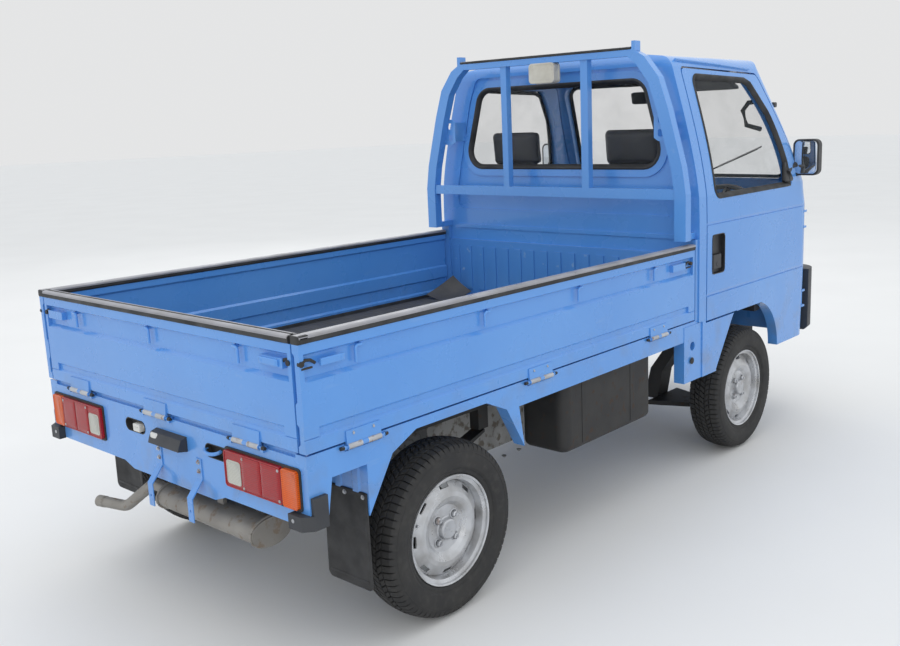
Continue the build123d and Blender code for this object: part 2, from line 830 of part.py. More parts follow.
def long_gate(length, hooks, hinges, latches):
    # a gate drawn along X, with its outer face towards +Y at y = 0
    with BuildPart() as gate:
        with BuildSketch(Plane.YZ.offset(-length / 2)):
            add(gate_section(0, -gate_thick))
        extrude(amount=length)
        for end in (-1, 1):
            for plain, low, high in gate_plain_ends:
                edge = end * length / 2
                near = edge - end * plain
                add(block((min(near, edge), -gate_thick / 2, low), (max(near, edge), 0, high)))
        for place in hooks:
            add(rope_hook(1, place))
        for place in hinges:
            add(gate_hinge(0, place))
        for place in latches:
            with Locations((place, -gate_outer_edge[6][1] / 2 + 1, 893)):
                Box(92, gate_outer_edge[6][1] + 6, 26)
    return gate.part


def gate_trim(length):
    with BuildPart() as trim:
        with BuildSketch(Plane.YZ.offset(-length / 2)):
            with Locations((-gate_thick / 2, gate_top_z + trim_height / 2)):
                RectangleRounded(trim_width, trim_height, 6)
        extrude(amount=length)
    return trim.part


side_length = tail_y - gate_front_y
side_middle = (tail_y + gate_front_y) / 2
tail_half = gate_x - gate_thick - clear
trim_half = gate_x - gate_thick / 2 - trim_width / 2 - clear
# drawn along X facing +Y, then turned to face +X at the truck's left
to_left = Location((gate_x, side_middle, 0), (0, 0, -90))
along = [side_middle - rear_y - y for y in gate_hooks]
pins = [side_middle - rear_y - y for y in gate_hinges]
side_gate = long_gate(side_length, along, pins, [side_middle - rear_y + 1289]).moved(to_left)
save(side_gate, "gate_left")
save(mirrored(side_gate), "gate_right")
side_trim = gate_trim(side_length).moved(to_left)
save(side_trim, "gate_trim_left")
save(mirrored(side_trim), "gate_trim_right")
to_tail = Location((0, tail_y, 0))
tail_gate = long_gate(2 * tail_half, tail_hooks, tail_hinges, (-577, 577)).moved(to_tail)
save(tail_gate, "tailgate")
save(gate_trim(2 * trim_half).moved(to_tail), "tailgate_trim")

# Guard frame behind the rear window
with BuildPart() as guard:
    with BuildSketch(Plane.XZ.offset(-guard_y)) as guard_face:
        with BuildLine():
            Polyline(*guard_outer, (0, guard_outer[-1][1]), (0, guard_inner[-1][1]), *reversed(guard_inner), close=True)
            mirror(about=Plane.YZ)
        make_face()
    extrude(amount=-guard_depth)
    with BuildSketch(Plane.XZ.offset(-guard_y - 5)):
        with Locations((0, (guard_bar_z[0] + guard_bar_z[1]) / 2)):
            Rectangle(2 * guard_inner[1][0] + 20, guard_bar_z[1] - guard_bar_z[0])
        for place, width in guard_uprights:
            with Locations((place, (guard_bar_z[0] + guard_inner[-1][1]) / 2 + 5)):
                Rectangle(width, guard_inner[-1][1] - guard_bar_z[0] + 10)
    extrude(amount=-guard_depth + 10)
    for side in (-1, 1):
        # ears on the top bar, and brackets to the cab's back wall
        with Locations((side * 458, guard_y + guard_depth / 2, 1738)):
            Box(16, guard_depth, 38)
        with Locations((side * 655, (guard_y + cab_back_y) / 2, 1000)):
            Box(34, guard_y - cab_back_y, 26)
        # a pierced plate on the post, bent back to the cab's wall
        with BuildSketch(Plane.XZ.offset(-guard_y)):
            with BuildLine():
                Polyline(
                    (side * (plate_in_x + 20), plate_low_z), (side * plate_in_x, plate_low_z + 12),
                    (side * plate_in_x, plate_high_z - 12), (side * (plate_in_x + 20), plate_high_z),
                    (side * 580, plate_high_z), (side * 596, plate_low_z), close=True,
                )
            make_face()
            for height in plate_holes:
                with Locations((side * (plate_in_x + 31), height)):
                    RectangleRounded(26, 28, 7, mode=Mode.SUBTRACT)
        extrude(amount=-4)
        near = min(side * plate_in_x, side * (plate_in_x + 4))
        add(block((near, cab_back_y, plate_low_z + 14), (near + 4, guard_y + 4, plate_high_z - 14)))
save(guard.part, "guard_frame")
with BuildPart() as work_lamp:
    with BuildSketch(Plane.XZ.offset(-guard_y - 4)):
        with Locations((-14, 1660)):
            RectangleRounded(130, 80, 12)
    extrude(amount=-44)
save(work_lamp.part, "work_lamp")

# Rear panel with its lamps, straps and bumper corners
with BuildPart() as rear_panel:
    with BuildSketch(Plane.XZ.offset(-rear_panel_y)):
        with BuildLine():
            Polyline(
                (-skirt_inner_x, cross_top_z), (skirt_inner_x, cross_top_z), (skirt_inner_x, rear_panel_low_z),
                (230, rear_panel_low_z), (178, rear_panel_mid_z), (-260, rear_panel_mid_z),
                (-310, rear_panel_low_z), (-skirt_inner_x, rear_panel_low_z), close=True,
            )
        make_face()
        with Locations((143, 593), (-288, 593)):
            SlotOverall(110, 38, mode=Mode.SUBTRACT)
    extrude(amount=rear_panel_thick)
    notch_y = tail_y + pin_out - barrel_radius - 4
    for place in tail_hinges:
        reach = barrel_length / 2 + 4
        notch_low = (place - reach, notch_y, gate_pin_z - barrel_radius - 5)
        add(block(notch_low, (place + reach, back_y, bed_z + 10)), mode=Mode.SUBTRACT)
        with Locations((place, tail_y + pin_out, gate_pin_z)):
            Cylinder(gate_pin_radius, barrel_length + 30, rotation=(0, 90, 0))
        for end in (-1, 1):
            with Locations((place + end * (barrel_length / 2 + 11), tail_y, gate_pin_z - 4)):
                Box(12, 14, 16)
save(rear_panel.part, "rear_panel")

def lens(sides, near, thick):
    with BuildPart() as solid:
        with BuildSketch(Plane.XZ.offset(-near)):
            with Locations(((sides[0] + sides[1]) / 2, (sides[2] + sides[3]) / 2)):
                RectangleRounded(sides[1] - sides[0], sides[3] - sides[2], 10)
        extrude(amount=-thick)
    return solid.part


lens_y = rear_panel_y + gasket_thick
red_lens = lens(lamp_red, lens_y, lens_thick) - lens(lamp_clear, lens_y - 1, lens_thick + 2)
save(both_sides(lens(lamp_gasket, rear_panel_y, gasket_thick)), "lamp_gaskets")
save(both_sides(red_lens), "lamp_red")
rear_amber = lens(lamp_amber, lens_y, lens_thick)
save(both_sides(lens(lamp_clear, lens_y, lens_thick)), "lamp_clear")

with BuildPart() as corner_bumper:
    with BuildSketch(Plane.XY.offset(464)):
        with BuildLine():
            Polyline(
                (620, rear_panel_y), (620, rear_panel_y + 22), (672, rear_panel_y + 22), (696, rear_panel_y - 4),
                (696, rear_panel_y - 50), (skirt_x, rear_panel_y - 50), (skirt_x, rear_panel_y), close=True,
            )
        make_face()
    extrude(amount=lamp_gasket[2] - 3 - 464)
    add(block((skirt_x, rear_panel_y - 50, 480), (696, rear_panel_y - 4, 550)))

with BuildPart() as plate_lamp:
    with BuildSketch(Plane.YZ.offset(-140)):
        with BuildLine():
            Polyline(
                (rear_panel_y, 566), (rear_panel_y, 610), (rear_panel_y + 20, 604), (rear_panel_y + 28, 586),
                (rear_panel_y + 32, 572), close=True,
            )
        make_face()
    extrude(amount=160)
save(plate_lamp.part, "plate_lamp")

strap_face = back_y - strap_wall
straps = []
for place in strap_places:
    with BuildPart() as strap:
        with BuildSketch(Plane.YZ.offset(place - strap_width / 2)):
            with BuildLine():
                Polyline(
                    (rear_panel_y, 557), (rear_panel_y, 496), (strap_face, 448), (strap_face, strap_low_z),
                    (back_y, strap_low_z), (back_y, 450), (rear_panel_y + strap_wall, 498),
                    (rear_panel_y + strap_wall, 557), close=True,
                )
            make_face()
        extrude(amount=strap_width)
        with Locations(Plane((place, back_y, strap_hole_z), z_dir=(0, 1, 0))):
            Cylinder(3.5, 40, mode=Mode.SUBTRACT)
    straps.append(strap.part)
save(Compound(children=straps), "plate_brackets")

mudflap = block((495, rear_y + 338, 215), (skirt_x, rear_y + 343, 575))
save(both_sides(mudflap), "mudflaps")

# Engine block between the rails, and what hangs beside and behind it
with BuildPart() as engine:
    add(block(engine_low, engine_high))
    add(block((-rail_in, 420, 505), (rail_in, 470, 550)))
    fillet(engine.edges().filter_by(Axis.X), 12)
save(engine.part, "engine_block")
with BuildPart() as tank:
    add(block(tank_low, tank_high))
    fillet(tank.edges().filter_by(Axis.Z), 40)
    fillet(tank.edges().group_by(Axis.Z)[0], 25)
save(tank.part, "fuel_tank")
with BuildPart() as exhaust:
    with BuildSketch(Plane.YZ.offset(-396)):
        with Locations((muffler_y, muffler_z)):
            Ellipse(68, 42)
    extrude(amount=496)
    with BuildLine() as pipe_line:
        FilletPolyline(
            (90, muffler_y, muffler_z), (230, muffler_y, muffler_z), (360, muffler_y + 30, 262),
            (482, muffler_y + 60, 262), radius=60,
        )
    with BuildSketch(Plane((90, muffler_y, muffler_z), z_dir=(1, 0, 0))):
        Circle(18)
    sweep()
    # strap up to the frame
    add(block((-200, muffler_y + 12, muffler_z + 38), (-170, muffler_y + 24, rail_low_z)))
    add(block((-200, muffler_y - 170, rail_low_z - 10), (-170, muffler_y + 24, rail_low_z)))
save(exhaust.part, "exhaust")

# Rear axle: a tube with its drive housing, on two leaf springs under the rails
with BuildPart() as rear_axle:
    with BuildSketch(Plane.XY):
        with BuildLine():
            Polyline((0, 0), *axle_edge, (hub_end_x, 0), close=True)
        make_face()
        mirror(about=Plane.YZ)
    revolve(axis=Axis.X)
rear_axle_part = rear_axle.part.moved(Location((0, rear_y, tyre_radius)))
with BuildPart() as rear_axle:
    add(rear_axle_part)
    for side in (-1, 1):
        with Locations((side * rail_x, rear_y, spring_seat_z - 14)):
            Box(60, 90, 28)
save(rear_axle.part, "rear_axle")
leaves = []
for side in (-1, 1):
    with BuildPart() as leaf:
        with BuildSketch(Plane.YZ.offset(side * rail_x - 25)):
            with BuildLine():
                ends = (rear_y - spring_half - 20, rail_low_z - 80), (rear_y + spring_half + 20, rail_low_z - 80)
                ThreePointArc(ends[0], (rear_y, spring_seat_z + spring_thick), ends[1])
                Line(ends[1], (ends[1][0], ends[1][1] - 10))
                ThreePointArc((ends[1][0], ends[1][1] - 10), (rear_y, spring_seat_z), (ends[0][0], ends[0][1] - 10))
                Line((ends[0][0], ends[0][1] - 10), ends[0])
            make_face()
        extrude(amount=50)
    leaves.append(leaf.part)
save(Compound(children=leaves), "leaf_springs")

# Front suspension: a cross frame, two lower arms, and struts that turn with the wheels
with BuildPart() as subframe:
    with BuildSketch(Plane.XZ.offset(-front_y + 45)):
        with BuildLine():
            Polyline(
                (0, 165), (250, 165), (275, 300), (rail_out, rail_low_z), (rail_in, rail_low_z),
                (215, 310), (195, 225), (0, 225),
            )
            mirror(about=Plane.YZ)
        make_face()
    extrude(amount=-90)
save(subframe.part, "front_subframe")

ball = Vector(ball_x, front_y, ball_z)
strut_top = Vector(strut_top_x, front_y, strut_top_z)
king_axis = (strut_top - ball).normalized()
king_stretch = (strut_top - ball).length / (strut_top_z - ball_z)


def along_king(height):
    # the point on the left steering axis at a height
    share = (height - ball_z) / (strut_top_z - ball_z)
    return Vector(ball_x + (strut_top_x - ball_x) * share, front_y, height)


with BuildPart() as arm:
    with BuildSketch(Plane.XY.offset(ball_z - 12)):
        with BuildLine():
            Polyline(
                (arm_in_x, front_y - 130), (arm_in_x, front_y + 130), (310, front_y + 110), (ball_x + 16, front_y + 14),
                (ball_x + 16, front_y - 14), (310, front_y - 110), close=True,
            )
        make_face()
    extrude(amount=20)
    with Locations(Plane(along_king(ball_z + 14), z_dir=king_axis)):
        Cylinder(9, 26)
save(both_sides(arm.part), "front_arms")

with BuildPart() as knuckle:
    # hub carrier, brake disc and stub shaft on the wheel's axis
    with Locations(Plane((0, front_y, tyre_radius), z_dir=(1, 0, 0))):
        with Locations((0, 0, 512)):
            Cylinder(46, 60)
        with Locations((0, 0, 549)):
            Cylinder(112, 14)
        with Locations((0, 0, (540 + hub_end_x) / 2)):
            Cylinder(hub_radius - running, hub_end_x - 540)
        with Locations((0, 0, (540 + hub_face_x) / 2)):
            Cylinder(hub_flange, hub_face_x - 540)
    # clamp up to the strut and foot down to the ball joint
    with Locations(Plane(along_king(345), z_dir=king_axis)):
        Cylinder(30, 110)
    with BuildSketch(Plane.XZ.offset(-front_y + 22)):
        with BuildLine():
            Polyline((512, 300), (542, 300), (560, 192), (524, 184), close=True)
        make_face()
    extrude(amount=-44)
    with Locations(Plane(along_king(184), z_dir=king_axis)):
        Cylinder(9 + running, 60, mode=Mode.SUBTRACT)
    # the strut above it, along the axis that the wheel steers about
    for start, end, radius in strut_steps:
        with BuildSketch(Plane(along_king(start), x_dir=(0, 1, 0), z_dir=king_axis)):
            Circle(radius)
        extrude(amount=(end - start) * king_stretch)
save(knuckle.part, "knuckle_left")
save(mirrored(knuckle.part), "knuckle_right")

# Wheels: a pressed steel rim and its tyre, turned about X
def steel_rim():
    with BuildPart() as solid:
        with BuildSketch(Plane.XY):
            with BuildLine():
                inner = [(x, radius - rim_wall) for x, radius in reversed(rim_outer)]
                Polyline(*rim_outer, *inner, close=True)
            make_face()
            with BuildLine():
                back = [(x - disc_wall, radius) for x, radius in reversed(disc_outer)]
                Polyline(*disc_outer, *back, close=True)
            make_face()
        revolve(axis=Axis.X)
        for turn in range(slot_count):
            angle = 2 * pi * turn / slot_count
            spot = (30, slot_radius * cos(angle), slot_radius * sin(angle))
            with Locations(Plane(spot, x_dir=(0, cos(angle), sin(angle)), z_dir=(1, 0, 0))):
                Box(13, 36, 34, mode=Mode.SUBTRACT)
    return solid.part


def plain_tyre():
    with BuildPart() as solid:
        with BuildSketch(Plane.XY):
            with BuildLine():
                bead, edge, foot, side, shoulder = tyre_edge
                far_bead, far_edge, far_foot, far_side, far_shoulder = [(-x, radius) for x, radius in tyre_edge]
                Polyline(bead, edge, foot)
                ThreePointArc(foot, side, shoulder)
                ThreePointArc(shoulder, (0, tyre_radius), far_shoulder)
                ThreePointArc(far_shoulder, far_side, far_foot)
                Polyline(far_foot, far_edge, far_bead, bead)
            make_face()
        revolve(axis=Axis.X)
    return solid.part


rim_part = steel_rim()
tyre_part = plain_tyre()
for end, axle_y in (("front", front_y), ("rear", rear_y)):
    left = Location((wheel_x, axle_y, tyre_radius))
    right = Location((-wheel_x, axle_y, tyre_radius), (0, 0, 180))
    for side, place in (("left", left), ("right", right)):
        save(rim_part.moved(place), "rim_" + end + "_" + side)
        save(tyre_part.moved(place), "tyre_" + end + "_" + side)

# Nose: lamps in their pockets and the bumper below
lamp_room = 0.3
head_block = block((lamp_in_x + lamp_room, -2000, lamp_low_z + lamp_room),
                   (lamp_out_x - lamp_room, -1300, lamp_top_z - lamp_room))
marker_block = block((lamp_out_x + 4 + lamp_room, -2000, marker_low_z + lamp_room),
                     (far, marker_rear_y - lamp_room, lamp_top_z - lamp_room))
save(both_sides(shell & head_block), "headlamps")
front_amber = shell & marker_block
save(Compound(children=[rear_amber, mirrored(rear_amber), front_amber, mirrored(front_amber)]), "amber_lamps")
with BuildPart() as bumper:
    with BuildSketch(Plane.XY.offset(bumper_low_z)):
        add(cab_outline(bumper_half, nose_y, 150, bumper_rear_y))
    extrude(amount=bumper_top_z - bumper_low_z)
    chamfer(bumper.faces().sort_by(Axis.Z)[0].edges().sort_by(Axis.Y)[:-1], 18)
    add(outer_form, mode=Mode.SUBTRACT)
    add(block((-far, -1480, 300), (far, -1000, 1000)) & block((-600, -1480, 300), (600, -1000, 1000)), mode=Mode.SUBTRACT)
    with Locations((0, nose_y + 60, bumper_low_z + 160)):
        with GridLocations(plate_pitch, 0, 2, 1):
            Cylinder(3.5, 200, rotation=(90, 0, 0), mode=Mode.SUBTRACT)
    # hollow behind the plate's nuts
    add(block((-150, nose_y + 40, bumper_low_z + 130), (150, nose_y + 200, bumper_low_z + 190)), mode=Mode.SUBTRACT)
save(Compound(children=[bumper.part, corner_bumper.part, mirrored(corner_bumper.part)]), "bumpers")

# Inside the cab
with BuildPart() as seat:
    with BuildSketch(Plane.YZ.offset(seat_x - seat_width / 2)):
        with BuildLine():
            Polyline(
                (-1060, deck_top_z), (-1064, 792), (-1040, 812), (-640, 770), (-530, 1228), (-500, 1246), (-462, 1238),
                (-528, 760), (-560, deck_top_z), close=True,
            )
        make_face()
    extrude(amount=seat_width)
    # head rest on two posts
    with Locations((seat_x, head_rest_y, head_rest_z)):
        with GridLocations(150, 0, 2, 1):
            Cylinder(6, 150)
    with BuildSketch(Plane.XZ.offset(-head_rest_y + 38)):
        with Locations((seat_x, head_rest_z + 95)):
            RectangleRounded(270, 150, 50)
    extrude(amount=-76)
save(both_sides(seat.part), "seats")

wheel_normal = Vector(0, sin(radians(wheel_tilt)), cos(radians(wheel_tilt)))
wheel_middle = Vector(steer_x, steer_y, steer_z)
wheel_plane = Plane(wheel_middle, x_dir=(1, 0, 0), z_dir=wheel_normal)
with BuildPart() as steering_wheel:
    with Locations(wheel_plane):
        Torus(steer_radius, steer_rim)
        with Locations((0, 0, -14)):
            Cylinder(46, 30)
            Box(2 * steer_radius - 10, 34, 10)
        with Locations((0, -steer_radius / 2, -14)):
            Box(34, steer_radius - 10, 10)
save(steering_wheel.part, "steering_wheel")
column_top = wheel_middle - wheel_normal * (29 + running)
with BuildPart() as column:
    with BuildSketch(Plane(column_top, x_dir=(1, 0, 0), z_dir=-wheel_normal)):
        Circle(24)
    extrude(amount=360)
save(column.part, "steering_column")
with BuildPart() as dashboard:
    with BuildSketch(Plane.YZ.offset(-dash_half)):
        with BuildLine():
            Polyline(*dash_edge, close=True)
        make_face()
    extrude(amount=2 * dash_half)
    add(inner_form, mode=Mode.INTERSECT)
    add(column.part, mode=Mode.SUBTRACT)
save(dashboard.part, "dashboard")
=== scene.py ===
import bmesh
import bpy
import json
import math
from mathutils import Matrix, Vector
from mathutils.bvhtree import BVHTree


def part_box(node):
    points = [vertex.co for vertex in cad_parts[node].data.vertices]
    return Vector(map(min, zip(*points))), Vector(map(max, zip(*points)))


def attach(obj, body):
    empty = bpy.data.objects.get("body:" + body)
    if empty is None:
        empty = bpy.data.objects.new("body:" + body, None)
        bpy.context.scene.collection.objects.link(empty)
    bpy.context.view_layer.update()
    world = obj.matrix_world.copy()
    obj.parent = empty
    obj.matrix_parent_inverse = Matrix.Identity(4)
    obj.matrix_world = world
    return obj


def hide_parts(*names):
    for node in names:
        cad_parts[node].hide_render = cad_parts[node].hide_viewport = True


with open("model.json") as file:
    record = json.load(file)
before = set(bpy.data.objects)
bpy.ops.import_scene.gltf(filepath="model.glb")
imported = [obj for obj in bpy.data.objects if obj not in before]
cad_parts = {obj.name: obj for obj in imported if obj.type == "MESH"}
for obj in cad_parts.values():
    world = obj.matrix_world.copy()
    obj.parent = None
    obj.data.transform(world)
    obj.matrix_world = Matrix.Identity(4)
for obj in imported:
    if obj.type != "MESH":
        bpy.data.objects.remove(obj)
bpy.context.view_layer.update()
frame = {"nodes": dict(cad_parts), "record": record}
nodes = frame["nodes"]

sides = (("left", 1), ("right", -1))
frontAxle = (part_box("tyre_front_left")[0].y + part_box("tyre_front_left")[1].y) / 2
rearAxle = (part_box("tyre_rear_left")[0].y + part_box("tyre_rear_left")[1].y) / 2
rearward = (0, 1, 0)
downward = (0, 0, -1)

# Camera and light

cameraSpot = {"place": (-2.5458, 3.026, 1.4562), "yaw": -40.9, "pitch": -11.0, "roll": -2.0}
cameraLens = {
    "focalPixels": 965.5, "middleX": 493.0, "middleY": 312.6, "width": 900, "height": 646,
    "sensor": 36, "farClip": 300,
}


def setCamera():
    yaw, pitch, roll = (math.radians(cameraSpot[k]) for k in ("yaw", "pitch", "roll"))
    ahead = Vector((-math.cos(pitch) * math.sin(yaw), -math.cos(pitch) * math.cos(yaw), math.sin(pitch)))
    level = ahead.cross(Vector((0, 0, 1))).normalized()
    above = level.cross(ahead)
    right = level * math.cos(roll) + above * math.sin(roll)
    up = above * math.cos(roll) - level * math.sin(roll)
    data = bpy.data.cameras.new("camera")
    camera = bpy.data.objects.new("camera", data)
    bpy.context.scene.collection.objects.link(camera)
    axes = Matrix((right, up, -ahead)).transposed().to_4x4()
    camera.matrix_world = Matrix.Translation(cameraSpot["place"]) @ axes
    width = cameraLens["width"]
    data.sensor_width = cameraLens["sensor"]
    data.lens = cameraLens["focalPixels"] / width * data.sensor_width
    data.shift_x = (width / 2 - cameraLens["middleX"]) / width
    data.shift_y = (cameraLens["middleY"] - cameraLens["height"] / 2) / width
    data.clip_end = cameraLens["farClip"]
    bpy.context.scene.camera = camera


studio = {
    "sky": (0.95, 0.975, 1.0), "skyStrength": 1.0, "backdrop": (0.78, 0.785, 0.79),
    "floor": (0.78, 0.78, 0.775), "floorHalf": 60.0, "aim": (0, 0, 0.7),
    "lamps": [    # name, place, size, watts
        ("overhead", (0.5, 0.5, 7.0), 9.0, 130),
        ("rearRight", (-6.5, 6.0, 4.0), 5.0, 90),
        ("frontLeft", (6.0, -5.0, 4.5), 5.0, 60),
    ],
}


def setStudio():
    scene = bpy.context.scene
    scene.view_settings.view_transform = "Standard"
    world = bpy.data.worlds.new("studio")
    scene.world = world
    world.use_nodes = True
    tree = world.node_tree
    tree.nodes.clear()
    output = tree.nodes.new("ShaderNodeOutputWorld")
    mix = tree.nodes.new("ShaderNodeMixShader")
    sky = tree.nodes.new("ShaderNodeBackground")
    backdrop = tree.nodes.new("ShaderNodeBackground")
    path = tree.nodes.new("ShaderNodeLightPath")
    sky.inputs["Color"].default_value = (*studio["sky"], 1)
    sky.inputs["Strength"].default_value = studio["skyStrength"]
    backdrop.inputs["Color"].default_value = (*studio["backdrop"], 1)
    # the camera sees the backdrop's colour, and everything else is lit by the sky's
    tree.links.new(path.outputs["Is Camera Ray"], mix.inputs[0])
    tree.links.new(sky.outputs[0], mix.inputs[1])
    tree.links.new(backdrop.outputs[0], mix.inputs[2])
    tree.links.new(mix.outputs[0], output.inputs[0])
    for name, place, size, watts in studio["lamps"]:
        data = bpy.data.lights.new(name, "AREA")
        data.size = size
        data.energy = watts
        lamp = bpy.data.objects.new(name, data)
        lamp.location = place
        aim = Vector(studio["aim"]) - Vector(place)
        lamp.rotation_euler = aim.to_track_quat("-Z", "Y").to_euler()
        scene.collection.objects.link(lamp)


setCamera()
setStudio()
print("camera and light set")

# Materials, each one a Principled shader with its own noise


def startMaterial(name, rough, metal=0.0, **constants):
    mat = bpy.data.materials.new(name)
    mat.use_nodes = True
    tree = mat.node_tree
    tree.nodes.clear()
    output = tree.nodes.new("ShaderNodeOutputMaterial")
    shader = tree.nodes.new("ShaderNodeBsdfPrincipled")
    tree.links.new(shader.outputs[0], output.inputs[0])
    shader.inputs["Roughness"].default_value = rough
    shader.inputs["Metallic"].default_value = metal
    for key, value in constants.items():
        shader.inputs[key.replace("_", " ")].default_value = value
    return mat, tree, shader


def noiseOf(tree, scale, detail=4.0, stretch=(1, 1, 1)):
    coords = tree.nodes.new("ShaderNodeTexCoord")
    mapping = tree.nodes.new("ShaderNodeMapping")
    mapping.inputs["Scale"].default_value = stretch
    tree.links.new(coords.outputs["Object"], mapping.inputs[0])
    texture = tree.nodes.new("ShaderNodeTexNoise")
    texture.inputs["Scale"].default_value = scale
    texture.inputs["Detail"].default_value = detail
    tree.links.new(mapping.outputs[0], texture.inputs["Vector"])
    return texture.outputs["Fac"]


def rampOf(tree, source, low, high, lowValue=0.0, highValue=1.0):
    ranger = tree.nodes.new("ShaderNodeMapRange")
    ranger.inputs["From Min"].default_value = low
    ranger.inputs["From Max"].default_value = high
    ranger.inputs["To Min"].default_value = lowValue
    ranger.inputs["To Max"].default_value = highValue
    tree.links.new(source, ranger.inputs["Value"])
    return ranger.outputs["Result"]


def patchesOf(tree, scale, detail, low, high, lowValue=0.0, highValue=1.0):
    # noise with its middle stretched, so that patches have soft edges
    return rampOf(tree, noiseOf(tree, scale, detail), low, high, lowValue, highValue)


def multiply(tree, first, second):
    node = tree.nodes.new("ShaderNodeMath")
    node.operation = "MULTIPLY"
    for value, socket in ((first, node.inputs[0]), (second, node.inputs[1])):
        if isinstance(value, (int, float)):
            socket.default_value = value
        else:
            tree.links.new(value, socket)
    return node.outputs[0]


def blendColors(tree, share, first, second):
    mix = tree.nodes.new("ShaderNodeMix")
    mix.data_type = "RGBA"
    tree.links.new(share, mix.inputs["Factor"])
    for value, socket in ((first, mix.inputs[6]), (second, mix.inputs[7])):
        if isinstance(value, tuple):
            socket.default_value = (*value, 1)
        else:
            tree.links.new(value, socket)
    return mix.outputs[2]


def heightOf(tree, low, high):
    # 0 below low, 1 above high, in metres above the ground
    coords = tree.nodes.new("ShaderNodeTexCoord")
    split = tree.nodes.new("ShaderNodeSeparateXYZ")
    tree.links.new(coords.outputs["Object"], split.inputs[0])
    return rampOf(tree, split.outputs["Z"], low, high)


def addBump(tree, shader, layers):
    # layers: height source, strength, depth in metres
    normal = None
    for source, strength, depth in layers:
        bump = tree.nodes.new("ShaderNodeBump")
        bump.inputs["Strength"].default_value = strength
        bump.inputs["Distance"].default_value = depth
        tree.links.new(source, bump.inputs["Height"])
        if normal is not None:
            tree.links.new(normal, bump.inputs["Normal"])
        normal = bump.outputs[0]
    tree.links.new(normal, shader.inputs["Normal"])


paintWear = {
    "coat": 0.55, "coatRough": 0.09,
    "mud": (0.17, 0.15, 0.12), "mudBelow": (0.36, 0.80),    # metres above the ground: full, none
    "rubbed": (0.36, 0.50, 0.66), "specks": (0.10, 0.11, 0.13), "speckShare": 0.5,
}


def paintMaterial(name, body, shade, dirt, scratches, rough):
    wear = paintWear
    coat = {"Coat_Weight": wear["coat"], "Coat_Roughness": wear["coatRough"]}
    mat, tree, shader = startMaterial(name, rough, **coat)
    colour = blendColors(tree, patchesOf(tree, 1.7, 3, 0.35, 0.68), body, shade)
    grime = patchesOf(tree, 9, 8, 0.50, 0.72)
    lowDirt = multiply(tree, rampOf(tree, heightOf(tree, *wear["mudBelow"]), 1, 0), grime)
    colour = blendColors(tree, multiply(tree, lowDirt, dirt), colour, wear["mud"])
    rubbed = rampOf(tree, noiseOf(tree, 26, 9, (1, 0.18, 1)), 0.66, 0.74)
    colour = blendColors(tree, multiply(tree, rubbed, scratches), colour, wear["rubbed"])
    specks = patchesOf(tree, 170, 2, 0.80, 0.86)
    colour = blendColors(tree, multiply(tree, specks, wear["speckShare"]), colour, wear["specks"])
    tree.links.new(colour, shader.inputs["Base Color"])
    uneven = patchesOf(tree, 6, 6, 0.3, 0.75, rough - 0.07, rough + 0.16)
    tree.links.new(uneven, shader.inputs["Roughness"])
    addBump(tree, shader, [(noiseOf(tree, 420, 2), 0.05, 0.0006), (noiseOf(tree, 5, 2), 0.12, 0.004)])
    return mat


def plainMaterial(
    name, body, shade, rough, metal=0.0, patch=8.0, grain=300.0, depth=0.0004, dust=None, dustShare=0.55,
    **constants,
):
    # patchy colour, fine grain, and dust in the patches
    mat, tree, shader = startMaterial(name, rough, metal, **constants)
    colour = blendColors(tree, patchesOf(tree, patch, 7, 0.36, 0.66), body, shade)
    if dust:
        share = multiply(tree, patchesOf(tree, 14, 8, 0.42, 0.70), dustShare)
        colour = blendColors(tree, share, colour, dust)
    tree.links.new(colour, shader.inputs["Base Color"])
    spread = min(0.14, rough * 0.6)
    uneven = patchesOf(tree, patch * 1.7, 6, 0.3, 0.7, rough - spread, rough + spread)
    tree.links.new(uneven, shader.inputs["Roughness"])
    addBump(tree, shader, [(noiseOf(tree, grain, 3), 0.35, depth)])
    return mat


def rustyMaterial(name, body, shade, rust, share, rough, metal, rustRough=0.85):
    mat, tree, shader = startMaterial(name, rough, metal)
    colour = blendColors(tree, patchesOf(tree, 11, 6, 0.35, 0.65), body, shade)
    spots = patchesOf(tree, 34, 10, 0.62 - share * 0.25, 0.70 - share * 0.2)
    colour = blendColors(tree, multiply(tree, spots, 0.85), colour, rust)
    tree.links.new(colour, shader.inputs["Base Color"])
    tree.links.new(rampOf(tree, spots, 0, 1, rough, rustRough), shader.inputs["Roughness"])
    tree.links.new(rampOf(tree, spots, 0, 1, metal, 0.0), shader.inputs["Metallic"])
    addBump(tree, shader, [(noiseOf(tree, 220, 5), 0.4, 0.0006), (spots, 0.3, 0.0008)])
    return mat


def lensMaterial(name, body, deep, ribs):
    # a moulded lens: fine prisms under a glossy skin, with painted shade that darkens the colour in the prism
    # hollows
    gloss = {"Coat_Weight": 0.35, "Coat_Roughness": 0.05, "Specular_IOR_Level": 0.3}
    mat, tree, shader = startMaterial(name, 0.22, **gloss)
    coords = tree.nodes.new("ShaderNodeTexCoord")
    heights = []
    for axis in ("X", "Z"):
        wave = tree.nodes.new("ShaderNodeTexWave")
        wave.bands_direction = axis
        wave.inputs["Scale"].default_value = ribs
        tree.links.new(coords.outputs["Object"], wave.inputs["Vector"])
        heights.append(wave.outputs["Fac"])
    prisms = multiply(tree, *heights)
    # painted shade: the colour goes to the darker one in the prism hollows
    colour = blendColors(tree, rampOf(tree, prisms, 0.05, 0.7), deep, body)
    tree.links.new(colour, shader.inputs["Base Color"])
    addBump(tree, shader, [(prisms, 0.5, 0.0012)])
    return mat


